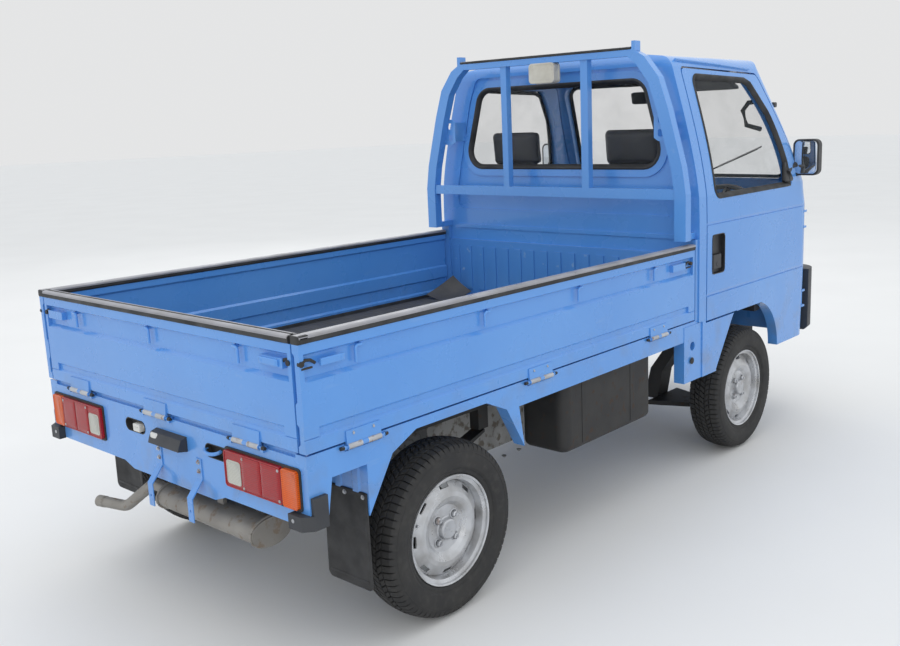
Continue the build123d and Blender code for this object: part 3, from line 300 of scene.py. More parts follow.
def glassMaterial(name, tint, clear, edge=0.18):
    # clear face on, brighter towards grazing, with a faint smear
    mat, tree, shader = startMaterial(name, 0.03, Base_Color=(*tint, 1), Specular_IOR_Level=0.8)
    slant = tree.nodes.new("ShaderNodeLayerWeight")
    slant.inputs["Blend"].default_value = 0.25
    smear = patchesOf(tree, 7, 8, 0.45, 0.8, clear, clear + 0.05)
    total = tree.nodes.new("ShaderNodeMath")
    total.operation = "MULTIPLY_ADD"
    total.inputs[1].default_value = edge
    tree.links.new(slant.outputs["Facing"], total.inputs[0])
    tree.links.new(smear, total.inputs[2])
    tree.links.new(total.outputs[0], shader.inputs["Alpha"])
    return mat


def treadMaterial(name, body, shade, dust, dustShare=0.18):
    mat, tree, shader = startMaterial(name, 0.78)
    colour = blendColors(tree, patchesOf(tree, 9, 5, 0.35, 0.7), body, shade)
    share = multiply(tree, patchesOf(tree, 45, 6, 0.5, 0.75), dustShare)
    colour = blendColors(tree, share, colour, dust)
    tree.links.new(colour, shader.inputs["Base Color"])
    addBump(tree, shader, [(noiseOf(tree, 500, 3), 0.4, 0.0004)])
    return mat


materials = {
    "paint": paintMaterial(
        "cornflower_paint", (0.078, 0.272, 0.680), (0.100, 0.305, 0.715),
        dirt=0.55, scratches=0.10, rough=0.26,
    ),
    "bedPaint": paintMaterial(
        "worn_bed_paint", (0.070, 0.245, 0.620), (0.092, 0.285, 0.670),
        dirt=0.3, scratches=0.55, rough=0.34,
    ),
    "frameBlack": rustyMaterial(
        "underbody_black", (0.016, 0.016, 0.017), (0.026, 0.025, 0.024), (0.055, 0.035, 0.024),
        share=0.12, rough=0.62, metal=0.0,
    ),
    "innerTrim": plainMaterial(
        "grey_trim_vinyl", (0.045, 0.046, 0.05), (0.06, 0.06, 0.064), 0.58, patch=6, grain=900, depth=0.0003,
    ),
    "bumper": plainMaterial(
        "grained_bumper_plastic", (0.030, 0.033, 0.040), (0.038, 0.041, 0.048), 0.55,
        patch=5, grain=1100, depth=0.0004, dust=(0.045, 0.047, 0.05),
    ),
    "rubber": plainMaterial(
        "black_rubber", (0.012, 0.012, 0.013), (0.026, 0.026, 0.027), 0.6,
        patch=10, grain=500, depth=0.0003, dust=(0.05, 0.05, 0.05),
    ),
    "tyre": treadMaterial("tyre_rubber", (0.020, 0.020, 0.021), (0.030, 0.029, 0.028), (0.10, 0.095, 0.085)),
    "rim": plainMaterial(
        "silver_wheel_paint", (0.50, 0.51, 0.53), (0.60, 0.61, 0.63), 0.36,
        metal=0.55, patch=12, grain=500, depth=0.0002, dust=(0.20, 0.185, 0.165),
    ),
    "steel": rustyMaterial(
        "galvanised_steel", (0.42, 0.43, 0.45), (0.55, 0.56, 0.58), (0.20, 0.10, 0.05),
        share=0.1, rough=0.38, metal=0.85,
    ),
    "cast": rustyMaterial(
        "cast_alloy", (0.24, 0.24, 0.235), (0.33, 0.33, 0.32), (0.10, 0.08, 0.06),
        share=0.35, rough=0.6, metal=0.6,
    ),
    "muffler": rustyMaterial(
        "muffler_steel", (0.30, 0.285, 0.26), (0.25, 0.235, 0.215), (0.19, 0.14, 0.10),
        share=0.2, rough=0.55, metal=0.45,
    ),
    "glass": glassMaterial("window_glass", (0.02, 0.03, 0.03), 0.03),
    "lampRed": lensMaterial("red_lens", (0.44, 0.006, 0.012), (0.24, 0.003, 0.007), 60),
    "lampAmber": lensMaterial("amber_lens", (0.78, 0.13, 0.004), (0.52, 0.07, 0.003), 60),
    "lampClear": lensMaterial("reversing_lens", (0.66, 0.66, 0.60), (0.38, 0.38, 0.34), 80),
    "headlamp": lensMaterial("headlamp_lens", (0.74, 0.76, 0.78), (0.36, 0.38, 0.40), 36),
    "mirrorBlack": plainMaterial(
        "mirror_housing", (0.014, 0.014, 0.016), (0.022, 0.022, 0.024), 0.4, patch=9, grain=800, depth=0.0002,
    ),
    "mirrorGlass": plainMaterial(
        "mirror_silver", (0.62, 0.66, 0.70), (0.66, 0.70, 0.74), 0.04,
        metal=1.0, patch=5, grain=60, depth=0.00002,
    ),
    "seat": plainMaterial(
        "charcoal_seat_vinyl", (0.028, 0.029, 0.034), (0.042, 0.043, 0.048), 0.5,
        patch=7, grain=650, depth=0.0005, Sheen_Weight=0.25,
    ),
    "cream": plainMaterial(
        "aged_cream_plastic", (0.62, 0.60, 0.53), (0.54, 0.52, 0.45), 0.36,
        patch=12, grain=300, depth=0.0002, dust=(0.34, 0.31, 0.26),
    ),
    "mat": plainMaterial(
        "ribbed_bed_mat", (0.055, 0.056, 0.06), (0.070, 0.070, 0.073), 0.7,
        patch=4, grain=260, depth=0.0008, dust=(0.10, 0.096, 0.09),
    ),
    "stripe": plainMaterial(
        "pale_trim_strip", (0.25, 0.25, 0.275), (0.34, 0.34, 0.37), 0.4,
        metal=0.1, patch=9, grain=300, depth=0.0002, dust=(0.25, 0.24, 0.23),
    ),
    "whitePlastic": plainMaterial(
        "pale_grey_plastic", (0.60, 0.60, 0.58), (0.66, 0.66, 0.64), 0.45, patch=9, grain=400, depth=0.0002,
    ),
}

finishOfSlot = {
    "blue_paint": "paint", "frame_black": "frameBlack", "inner_trim": "innerTrim", "bumper_plastic": "bumper",
    "rubber": "rubber", "tyre": "tyre", "wheel_steel": "rim", "raw_steel": "steel", "cast": "cast",
    "window_glass": "glass", "lamp_red": "lampRed", "lamp_amber": "lampAmber", "lamp_clear": "lampClear",
    "headlamp": "headlamp", "mirror_black": "mirrorBlack", "seat_vinyl": "seat", "work_lamp_cream": "cream",
}
finishOfNode = {
    "bed_floor": "bedPaint", "headboard": "bedPaint", "gate_left": "paint", "gate_right": "paint",
    "tailgate": "paint", "bed_mat": "mat", "exhaust": "muffler", "leaf_springs": "frameBlack",
}


def dressNodes():
    slotOf = {part["node"]: part["material_slot"] for part in frame["record"]["subparts"]}
    for name, node in nodes.items():
        finish = finishOfNode.get(name, finishOfSlot[slotOf[name]])
        node.data.materials.clear()
        node.data.materials.append(materials[finish])


dressNodes()
print("materials made:", len(materials))

# Mesh helpers, all in metres in the frame's own axes


def addBox(bm, low, high):
    low, high = Vector(low), Vector(high)
    place = Matrix.Translation((low + high) / 2) @ Matrix.Diagonal((*(high - low), 1))
    bmesh.ops.create_cube(bm, size=1, matrix=place)


def addRod(bm, start, end, radius, endRadius=None, count=16):
    start, end = Vector(start), Vector(end)
    axis = end - start
    place = Matrix.Translation((start + end) / 2) @ axis.to_track_quat("Z", "Y").to_matrix().to_4x4()
    bmesh.ops.create_cone(
        bm, cap_ends=True, segments=count, radius1=radius, depth=axis.length,
        radius2=radius if endRadius is None else endRadius, matrix=place,
    )


def addRings(bm, rings, closed=False, capped=False):
    made = [[bm.verts.new(p) for p in ring] for ring in rings]
    follow = made[1:] + (made[:1] if closed else [])
    for first, second in zip(made, follow):
        count = len(first)
        for i in range(count):
            j = (i + 1) % count
            bm.faces.new((first[i], first[j], second[j], second[i]))
    if capped:
        bm.faces.new(made[0])
        bm.faces.new(made[-1])


def addLathe(bm, centre, axis, profile, count=48, closed=False):
    # profile: along the axis, radius
    centre, axis = Vector(centre), Vector(axis).normalized()
    side = axis.orthogonal().normalized()
    up = axis.cross(side)
    rings = []
    for along, radius in profile:
        ring = []
        for i in range(count):
            turn = 2 * math.pi * i / count
            ring.append(centre + axis * along + (side * math.cos(turn) + up * math.sin(turn)) * radius)
        rings.append(ring)
    addRings(bm, rings, closed)


def addSweep(bm, points, normals, section, closed=False):
    # section: across the path, out along the normal
    count = len(points)
    rings = []
    for i in range(count):
        before = points[i - 1] if (i or closed) else points[i]
        after = points[(i + 1) % count] if (i < count - 1 or closed) else points[i]
        along = (after - before).normalized()
        across = along.cross(normals[i]).normalized()
        out = across.cross(along)
        rings.append([points[i] + across * a + out * b for a, b in section])
    addRings(bm, rings, closed, not closed)


def addTube(bm, points, radius, count=10, closed=False):
    points = [Vector(p) for p in points]
    last = len(points) - 1
    normals = []
    for i in range(len(points)):
        if closed:
            along = points[(i + 1) % len(points)] - points[i - 1]
        else:
            along = points[min(i + 1, last)] - points[max(i - 1, 0)]
        along = along.normalized()
        guide = Vector((0, 0, 1)) if abs(along.z) < 0.9 else Vector((1, 0, 0))
        normals.append((guide - along * guide.dot(along)).normalized())
    turns = [2 * math.pi * k / count for k in range(count)]
    section = [(radius * math.cos(turn), radius * math.sin(turn)) for turn in turns]
    addSweep(bm, points, normals, section, closed)


def addPad(bm, centre, half, edge, turn=None, crown=0.12, pull=0.03, channels=(), cuts=22):
    # a stuffed block: rounded edges, crowned faces, sides pulled in between the corners
    centre, half = Vector(centre), Vector(half)
    turn = turn or Matrix.Identity(3)
    before = set(bm.verts)
    made = bmesh.ops.create_cube(bm, size=2)
    edges = list({line for v in made["verts"] for line in v.link_edges})
    bmesh.ops.subdivide_edges(bm, edges=edges, cuts=cuts, use_grid_fill=True)
    thin, wide = padAxes(half)
    for vert in [v for v in bm.verts if v not in before]:
        share = vert.co.copy()
        spot = Vector(share[k] * half[k] for k in range(3))
        inner = Vector(max(-half[k] + edge, min(half[k] - edge, spot[k])) for k in range(3))
        out = spot - inner
        if out.length > 1e-6:
            spot = inner + out.normalized() * edge
        swell = 1 - crown * max(share[k] ** 2 for k in wide)
        for place, width, depth in channels:
            swell -= depth * max(0.0, 1 - abs(spot[wide[0]] - place) / width)
        spot[thin] *= swell
        for k, other in (wide, wide[::-1]):
            spot[k] *= 1 - pull * (1 - share[other] ** 2)
        vert.co = centre + turn @ spot


def padAxes(half):
    thin = min(range(3), key=lambda k: half[k])
    return thin, [k for k in range(3) if k != thin]


def addLayers(bm, loop, place, levels, firstCap=False, lastCap=True):
    # rings of one outline, each grown or shrunk by its first number and set at its second
    centre = sum(loop, Vector((0, 0))) / len(loop)
    half = [max(abs(p[k] - centre[k]) for p in loop) for k in range(2)]

    def sized(grow):
        if grow >= 0:
            return grownLoop(loop, grow)
        scale = [(half[k] + grow) / half[k] for k in range(2)]
        return [Vector(centre[k] + (p[k] - centre[k]) * scale[k] for k in range(2)) for p in loop]

    rings = [[place(p, depth) for p in sized(grow)] for grow, depth in levels]
    made = [[bm.verts.new(p) for p in ring] for ring in rings]
    for first, second in zip(made, made[1:]):
        for i in range(len(first)):
            j = (i + 1) % len(first)
            bm.faces.new((first[i], first[j], second[j], second[i]))
    if firstCap:
        bm.faces.new(made[0])
    if lastCap:
        bm.faces.new(made[-1])


def rectLoop(low, high, radius, steps=5):
    corners = [(low[0], low[1]), (high[0], low[1]), (high[0], high[1]), (low[0], high[1])]
    return roundedLoop(corners, radius, steps)


def addScrew(bm, spot, out, radius, height=0.003):
    spot, out = Vector(spot), Vector(out).normalized()
    dome = [(-0.001, radius), (height * 0.6, radius), (height, radius * 0.75), (height, 0.0005)]
    addLathe(bm, spot, out, dome, 14)
    addRod(bm, spot + out * (height - 0.0005), spot + out * (height + 0.0006), radius * 0.42, count=6)


def addBolt(bm, spot, out, radius, height=0.006):
    spot, out = Vector(spot), Vector(out).normalized()
    addRod(bm, spot - out * 0.001, spot + out * 0.0015, radius * 1.5, count=20)
    addRod(bm, spot + out * 0.001, spot + out * height, radius, radius * 0.94, 6)


def endPiece(name, bm, finish, body, bevel=0.0, angle=35):
    bmesh.ops.recalc_face_normals(bm, faces=bm.faces)
    mesh = bpy.data.meshes.new(name)
    bm.to_mesh(mesh)
    bm.free()
    mesh.materials.append(materials[finish])
    for polygon in mesh.polygons:
        polygon.use_smooth = True
    mesh.set_sharp_from_angle(angle=math.radians(angle))
    piece = bpy.data.objects.new(name, mesh)
    bpy.context.scene.collection.objects.link(piece)
    if bevel:
        rounding = piece.modifiers.new("round", "BEVEL")
        rounding.width = bevel
        rounding.segments = 2
        rounding.limit_method = "ANGLE"
        rounding.angle_limit = math.radians(40)
    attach(piece, body)
    return piece


skinTrees = {}


def skinAt(names, start, direction):
    # where a line meets the nearest of some CAD nodes
    best = None
    for name in names:
        if name not in skinTrees:
            mesh = nodes[name].data
            mesh.calc_loop_triangles()
            corners = [v.co.copy() for v in mesh.vertices]
            skinTrees[name] = BVHTree.FromPolygons(corners, [t.vertices[:] for t in mesh.loop_triangles])
        place, normal, _, distance = skinTrees[name].ray_cast(Vector(start), Vector(direction))
        if place is not None and (best is None or distance < best[2]):
            if normal.dot(Vector(direction)) > 0:
                normal = -normal
            best = (place, normal, distance)
    return best


def skinLine(names, starts, direction, lift=0.0):
    # the same for a row of lines: the points, raised a little, and the skin's normals there
    points, normals = [], []
    for start in starts:
        hit = skinAt(names, start, direction)
        if hit:
            points.append(hit[0] + hit[1] * lift)
            normals.append(hit[1])
    return points, normals


def roundedLoop(corners, radii, steps=7):
    # a closed outline with each corner turned into an arc
    points = []
    count = len(corners)
    for i in range(count):
        here = Vector(corners[i])
        toLast = (Vector(corners[i - 1]) - here).normalized()
        toNext = (Vector(corners[(i + 1) % count]) - here).normalized()
        radius = radii[i] if isinstance(radii, (list, tuple)) else radii
        if radius <= 0:
            points.append(here)
            continue
        half = toLast.angle(toNext) / 2
        start = here + toLast * radius / math.tan(half)
        middle = here + (toLast + toNext).normalized() * radius / math.sin(half)
        first = start - middle
        end = here + toNext * radius / math.tan(half) - middle
        total = first.angle_signed(end)
        for k in range(steps + 1):
            turn = -total * k / steps
            points.append(middle + Matrix.Rotation(turn, 2) @ first)
    return points


def grownLoop(points, amount):
    # the outline moved outwards; the points run anticlockwise or clockwise
    area = sum(points[i - 1].x * points[i].y - points[i].x * points[i - 1].y for i in range(len(points)))
    grown = []
    for i in range(len(points)):
        along = (points[(i + 1) % len(points)] - points[i - 1]).normalized()
        out = Vector((along.y, -along.x)) * (1 if area > 0 else -1)
        grown.append(points[i] + out * amount)
    return grown


def arcThrough(first, middle, last, steps=8):
    a, b, c = Vector(first), Vector(middle), Vector(last)
    control = (b - a * 0.25 - c * 0.25) * 2
    points = []
    for k in range(steps + 1):
        t = k / steps
        points.append(a * (1 - t) ** 2 + control * (2 * t * (1 - t)) + c * t ** 2)
    return points


def denseLoop(points, spacing=0.03):
    dense = []
    for i in range(len(points)):
        here, following = points[i], points[(i + 1) % len(points)]
        steps = max(1, round((following - here).length / spacing))
        for k in range(steps):
            dense.append(here.lerp(following, k / steps))
    return dense


def tilted(degrees):
    return Matrix.Rotation(math.radians(degrees), 3, "X")


def spread(low, high, count):
    # evenly spaced values, both ends included
    return [low + (high - low) * k / (count - 1) for k in range(count)]


# Tyres with real tread blocks, and the dress of each wheel's middle

tyreShape = {
    "radius": 0.271, "half": 0.0725, "groove": 0.0070, "blocks": 74, "skew": 0.35,
    "crownHalf": 0.06, "crownRise": 0.009,    # the tread's bow from shoulder to shoulder
    "wallMiddle": 0.219, "wallHalf": 0.043, "wallRise": 0.0125,    # the side wall's bow
    "bead": [
        (0.0456, 0.1583), (0.0496, 0.170), (0.0565, 0.1725), (0.0600, 0.1775), (0.0612, 0.1850),
        (0.0636, 0.1862),
    ],
    "wallRings": (
        0.191, 0.1935, 0.194, 0.198, 0.206, 0.214, 0.222, 0.230, 0.2365, 0.237, 0.2395, 0.240, 0.248,
    ),
    "raisedRings": (0.1935, 0.194, 0.237, 0.2395), "ridge": 0.0009,
    "edge": (0.0635, 0.2535), "crownRings": (0.058, 0.045, 0.030, 0.015, 0.0),
    "rows": [    # inner and outer edge across the tread, share of the block's pitch that it fills
        (-0.0100, 0.0100, 0.80), (0.0145, 0.0310, 0.74), (-0.0310, -0.0145, 0.74),
    ],
    "shoulder": (0.0355, 0.050, 0.0600), "shoulderFill": 0.40,
    "shoulderTop": [(0.0655, 0.2545), (0.0683, 0.2450)],
    "shoulderFoot": [(0.057, 0.2530), (0.0610, 0.2500), (0.0650, 0.2440)],
}


def bowRadius(half, rise):
    return (half ** 2 + rise ** 2) / (2 * rise)


def crownRadius(across):
    bend = bowRadius(tyreShape["crownHalf"], tyreShape["crownRise"])
    return tyreShape["radius"] - bend + math.sqrt(bend ** 2 - across ** 2)


def wallAcross(radius):
    bend = bowRadius(tyreShape["wallHalf"], tyreShape["wallRise"])
    offset = radius - tyreShape["wallMiddle"]
    return tyreShape["half"] - bend + math.sqrt(max(bend ** 2 - offset ** 2, 0))


def wheelMiddle(name):
    low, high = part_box("tyre_" + name)
    return (low + high) / 2


def addTyre(bm, middle):
    t = tyreShape
    deep = t["groove"]
    wall = list(t["bead"])
    for radius in t["wallRings"]:
        ridge = t["ridge"] if radius in t["raisedRings"] else 0.0
        wall.append((wallAcross(radius) + ridge - 0.0003, radius))
    half = wall + [t["edge"]] + [(x, crownRadius(x) - deep) for x in t["crownRings"]]
    addLathe(bm, middle, (1, 0, 0), half + [(-x, r) for x, r in reversed(half[:-1])], 96)
    pitch = 2 * math.pi / t["blocks"]
    inner, bent, outer = t["shoulder"]
    top = [(inner, crownRadius(inner)), (bent, crownRadius(bent)), (outer, crownRadius(outer) - 0.001)]
    top += t["shoulderTop"]
    foot = [(inner, crownRadius(inner) - deep), (bent, crownRadius(bent) - deep)] + t["shoulderFoot"]

    def around(across, radius, turn):
        return middle + Vector((across, radius * math.cos(turn), radius * math.sin(turn)))

    for index in range(t["blocks"]):
        for rowIndex, (near, far, fill) in enumerate(t["rows"]):
            start = pitch * (index + 0.5 * (rowIndex > 0))
            width = pitch * fill / 2
            mid = (near + far) / 2
            rings = []
            for down, grow in ((deep + 0.001, 1.12), (0.0008, 1.0), (0.0, 0.90)):
                ring = []
                for x, sign in ((near, -1), (far, -1), (far, 1), (near, 1)):
                    x = mid + (x - mid) * grow
                    lean = t["skew"] * (x - mid) / t["radius"] * (1 if rowIndex != 2 else -1)
                    ring.append(around(x, crownRadius(x) - down, start + sign * width * grow + lean * 2))
                rings.append(ring)
            addRings(bm, rings, capped=True)
        for side in (-1, 1):
            start = pitch * (index + (0.25 if side > 0 else 0.75))
            width = pitch * t["shoulderFill"]
            rings = []
            for (x, radius), (lowX, lowRadius) in zip(top, foot):
                rings.append([
                    around(side * lowX, lowRadius, start - width * 1.1),
                    around(side * x, radius, start - width),
                    around(side * x, radius, start + width),
                    around(side * lowX, lowRadius, start + width * 1.1),
                ])
            addRings(bm, rings, capped=True)


wheelDress = {
    "face": 0.030, "nutCircle": 0.050, "nutRadius": 0.0105, "nutCount": 4,
    "seat": [(-0.001, 0.0155), (0.002, 0.0150), (0.003, 0.0125)],
    "capRadius": 0.0335, "capOut": 0.0492, "dimpleCircle": 0.014, "valve": (0.128, 0.052),
    "lip": [(0.0568, 0.1640), (0.0586, 0.1665), (0.0588, 0.1690), (0.0570, 0.1698), (0.0552, 0.1690)],
}


def addWheelDress(bm, middle, side):
    w = wheelDress
    face, nut, cap, top = w["face"], w["nutRadius"], w["capRadius"], w["capOut"]
    out = Vector((side, 0, 0))
    for index in range(w["nutCount"]):
        turn = math.pi / 4 + 2 * math.pi * index / w["nutCount"]
        spot = middle + Vector((0, math.cos(turn), math.sin(turn))) * w["nutCircle"]
        addLathe(bm, spot, out, [(face + along, radius) for along, radius in w["seat"]], 20)
        hexagon = [(face, nut), (face + 0.012, nut), (face + 0.0145, nut * 0.72), (face + 0.0145, 0.001)]
        addLathe(bm, spot, out, hexagon, 6)
        addRod(bm, spot + out * (face + 0.008), spot + out * (face + 0.019), 0.0050, 0.0046, 12)
    addLathe(bm, middle, out, [
        (face - 0.001, cap + 0.004), (face + 0.001, cap + 0.004), (face + 0.003, cap),
        (top - 0.006, cap - 0.0005), (top - 0.002, cap - 0.003), (top, cap - 0.007),
        (top - 0.001, cap * 0.55), (top - 0.0012, 0.001),
    ], 36)
    for turn in (0.6, 0.6 + math.pi):
        around = Vector((0, math.cos(turn), math.sin(turn))) * w["dimpleCircle"]
        spot = middle + out * (top - 0.0004) + around
        addRod(bm, spot - out * 0.001, spot + out * 0.0007, 0.0048, 0.0040, 14)
    stem = middle + Vector((0, *w["valve"]))
    addRod(bm, stem + out * 0.018, stem + out * 0.040, 0.0042, 0.0036, 12)
    addRod(bm, stem + out * 0.038, stem + out * 0.047, 0.0048, 0.0044, 12)


def makeWheels():
    for end in ("front", "rear"):
        for sideName, side in sides:
            name = end + "_" + sideName
            middle = wheelMiddle(name)
            body = "wheel_" + name
            bm = bmesh.new()
            addTyre(bm, middle)
            tyre = endPiece("tread_" + name, bm, "tyre", body, angle=28)
            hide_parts("tyre_" + name)
            bm = bmesh.new()
            addWheelDress(bm, middle, side)
            endPiece("wheel_dress_" + name, bm, "steel", body, angle=30)
            bm = bmesh.new()
            # rolled edge of the disc where it meets the rim
            addLathe(bm, middle, (side, 0, 0), wheelDress["lip"], 72, closed=True)
            endPiece("rim_lip_" + name, bm, "rim", body, angle=50)


makeWheels()
print("wheels dressed")

# Windows: rubber seals that follow the glass

sealShape = {
    "inset": 0.014, "grow": 0.016, "tuck": 0.0012,
    "section": [    # across the seal, out from the glass
        (-0.004, -0.001), (-0.003, 0.0022), (0.0015, 0.0042), (0.006, 0.0030), (0.010, -0.003),
        (0.0185, -0.0128), (0.0185, -0.0145), (0.0, -0.0145), (-0.0005, -0.004),
    ],
}
doorWindow = {
    "rear": -0.5195, "low": 1.150, "high": 1.610, "corner": 0.028,
    "frontTop": (-0.985, 1.598), "frontMid": (-1.118, 1.436), "frontLow": (-1.217, 1.154),
}
rearWindow = {
    "corners": [(-0.517, 1.275), (0.517, 1.275), (0.425, 1.603), (-0.425, 1.603)], "corner": 0.062,
}
windscreenShape = {
    "corners": [(-0.592, 1.172), (0.592, 1.172), (0.506, 1.622), (-0.506, 1.622)], "corner": 0.055,
}
farOut = {"side": 1.2, "rear": 0.2, "nose": -2.4}    # where the lines that look for the skin start


def doorWindowLoop():
    w = doorWindow
    corners = [(w["rear"], w["low"]), (w["rear"], w["high"]), w["frontTop"], w["frontLow"]]
    loop = roundedLoop(corners, [w["corner"], w["corner"], 0, 0])
    # the front edge is one bow from the roof to the sill
    return loop[:-2] + arcThrough(w["frontTop"], w["frontMid"], w["frontLow"])


def makeSeal(name, node, loop, toSpace, direction, body):
    outline = denseLoop(grownLoop(loop, sealShape["grow"] - sealShape["tuck"]))
    points, normals = skinLine([node], [toSpace(flat) for flat in outline], direction, sealShape["inset"])
    centre = sum(points, Vector()) / len(points)
    along = points[1] - points[0]
    if along.cross(normals[0]).dot(centre - points[0]) < 0:
        points.reverse()
        normals.reverse()
    bm = bmesh.new()
    addSweep(bm, points, normals, sealShape["section"], closed=True)
    endPiece(name, bm, "rubber", body, angle=50)


def makeSeals():
    for sideName, side in sides:
        makeSeal(
            "window_rubber_" + sideName, "door_glass_" + sideName, doorWindowLoop(),
            lambda p: (side * farOut["side"], p.x, p.y), (-side, 0, 0), "door_" + sideName,
        )
    for name, node, shape, start, way in (
        ("rear_window_rubber", "rear_window", rearWindow, farOut["rear"], -1),
        ("windscreen_rubber", "windscreen", windscreenShape, farOut["nose"], 1),
    ):
        makeSeal(
            name, node, roundedLoop(shape["corners"], shape["corner"]),
            lambda p: (p.x, start, p.y), (0, way, 0), "chassis",
        )


makeSeals()
print("windows sealed")

# Tail: lamp trim, plate lamp, straps, tow ring, connector

tail = {
    "face": 1.6175, "panel": 1.6055,
    "lenses": {    # low and high corner, finish, slot
        "red": ((0.338, 0.513), (0.588, 0.617), "lampRed", "lamp_red"),
        "amber": ((0.590, 0.513), (0.652, 0.617), "lampAmber", "lamp_amber"),
        "clear": ((0.350, 0.524), (0.413, 0.592), "lampClear", "lamp_clear"),
    },
    "rim": [(-0.0002, -0.003), (-0.0002, 0.0012), (-0.0012, 0.0020), (-0.0030, 0.0020), (-0.0042, 0.0006)],
    "redHalves": [((0.4185, 0.5175), (0.500, 0.6125)), ((0.503, 0.5175), (0.5835, 0.6125))],
    "pillow": [(0, -0.001), (0, 0.0008), (-0.0015, 0.0018), (-0.012, 0.0026)],
    "screws": [(0.4255, 0.606), (0.4255, 0.523), (0.579, 0.606), (0.579, 0.523)],
    # radius and height
    "lensScrew": (0.0042, 0.0022), "cornerScrew": (0.0055, 0.002), "strapBolt": (0.0048, 0.0055),
    "cornerScrews": [((0.640, 1.6275, 0.488), (0, 1, 0)), ((0.690, 1.590, 0.484), (1, 0.4, 0))],
    "plateLamp": ((-0.001, 1.6215, 0.588), (0.019, 0.011, 0.0155)),
    "straps": (0.016, -0.194), "strapBolts": (0.547, 0.520), "strapBoltY": 1.6085,
    "strapFoot": (1.6455, 0.386),
    "ring": {
        "x": -0.262, "y": 1.600, "z": 0.594, "wide": 0.033, "deep": 0.018, "drop": 0.006, "wire": 0.0055,
    },
    "slots": ((0.143, 0.593), (-0.288, 0.593)), "slotSize": (0.110, 0.038),
    "slotLining": [
        (0.0018, -0.0004), (0.0018, 0.0010), (-0.0005, 0.0010), (-0.0012, -0.010), (-0.0012, -0.0185),
    ],
    "plug": (0.128, 0.590), "pinGap": 0.010,
    "cable": [(-0.015, 1.598, 0), (-0.03, 1.588, 0.012), (-0.032, 1.57, 0.05), (-0.032, 1.56, 0.06)],
}


def makeLenses(sideName, side):
    def toFace(p, depth):
        return Vector((side * p.x, tail["face"] + depth, p.y))

    for key, (low, high, finish, slotName) in tail["lenses"].items():
        bm = bmesh.new()
        # a raised rim, with a pillowed lens inside it
        addLayers(bm, rectLoop(low, high, 0.009), toFace, tail["rim"], lastCap=key != "red")
        if key == "red":
            # the stop and tail halves, either side of a moulded bar
            for corners in tail["redHalves"]:
                addLayers(bm, rectLoop(*corners, 0.006), toFace, tail["pillow"])
        endPiece(key + "_lens_" + sideName, bm, finish, "chassis", angle=45)


def makeTailScrews(sideName, side):
    bm = bmesh.new()
    for x, z in tail["screws"]:
        addScrew(bm, (side * x, tail["face"] + 0.0015, z), rearward, *tail["lensScrew"])
    endPiece("lens_screws_" + sideName, bm, "steel", "chassis", angle=30)
    bm = bmesh.new()
    for (x, y, z), out in tail["cornerScrews"]:
        addScrew(bm, (side * x, y, z), (side * out[0], out[1], 0), *tail["cornerScrew"])
    endPiece("corner_screws_" + sideName, bm, "steel", "chassis", angle=30)


def makeStrapBolts():
    bm = bmesh.new()
    footY, footZ = tail["strapFoot"]
    for x in tail["straps"]:
        for height in tail["strapBolts"]:
            addBolt(bm, (x, tail["strapBoltY"], height), rearward, *tail["strapBolt"])
        # the bent foot of each strap
        addTube(bm, [(x - 0.008, footY, footZ), (x + 0.008, footY, footZ)], 0.0016, 8)
    endPiece("strap_bolts", bm, "steel", "chassis", angle=30)


def makeTowRing():
    bm = bmesh.new()
    r = tail["ring"]
    ring = []
    for degrees in spread(-100, 100, 15):
        turn = math.radians(degrees)
        across, back = math.sin(turn), math.cos(turn)
        ring.append((r["x"] + r["wide"] * across, r["y"] + r["deep"] * back, r["z"] - r["drop"] * back))
    addTube(bm, ring, r["wire"], 12)
    endPiece("tow_ring", bm, "paint", "chassis", angle=60)


def makeSlotLiners():
    def toPanel(p, depth):
        return Vector((p.x, tail["panel"] + depth, p.y))

    bm = bmesh.new()
    wide, tall = tail["slotSize"]
    for x, z in tail["slots"]:
        corners = (x - wide / 2, z - tall / 2), (x + wide / 2, z + tall / 2)
        addLayers(bm, rectLoop(*corners, tall / 2 - 0.0002, 8), toPanel, tail["slotLining"])
    endPiece("slot_liners", bm, "rubber", "chassis", angle=45)


def makePlug():
    bm = bmesh.new()
    x, z = tail["plug"]
    addPad(bm, (x, 1.6010, z), (0.019, 0.012, 0.0125), 0.003, crown=0.0, pull=0.0, cuts=6)
    for k in (-1, 0, 1):
        pin = x + k * tail["pinGap"]
        addRod(bm, (pin, 1.606, z + 0.003), (pin, 1.6145, z + 0.003), 0.0022, count=8)
    addTube(bm, [(x + across, y, z + up) for across, y, up in tail["cable"]], 0.0035, 8)
    endPiece("trailer_plug", bm, "whitePlastic", "chassis", angle=40)


def makeTail():
    for sideName, side in sides:
        makeLenses(sideName, side)
        makeTailScrews(sideName, side)
    bm = bmesh.new()
    addPad(bm, *tail["plateLamp"], 0.006, crown=0.05, cuts=8)
    endPiece("plate_lamp_lens", bm, "whitePlastic", "chassis", angle=60)
    makeStrapBolts()
    makeTowRing()
    makeSlotLiners()
    makePlug()


makeTail()

# Gates: trim strip between two lips, hinge sleeves on the pins, latch levers and links

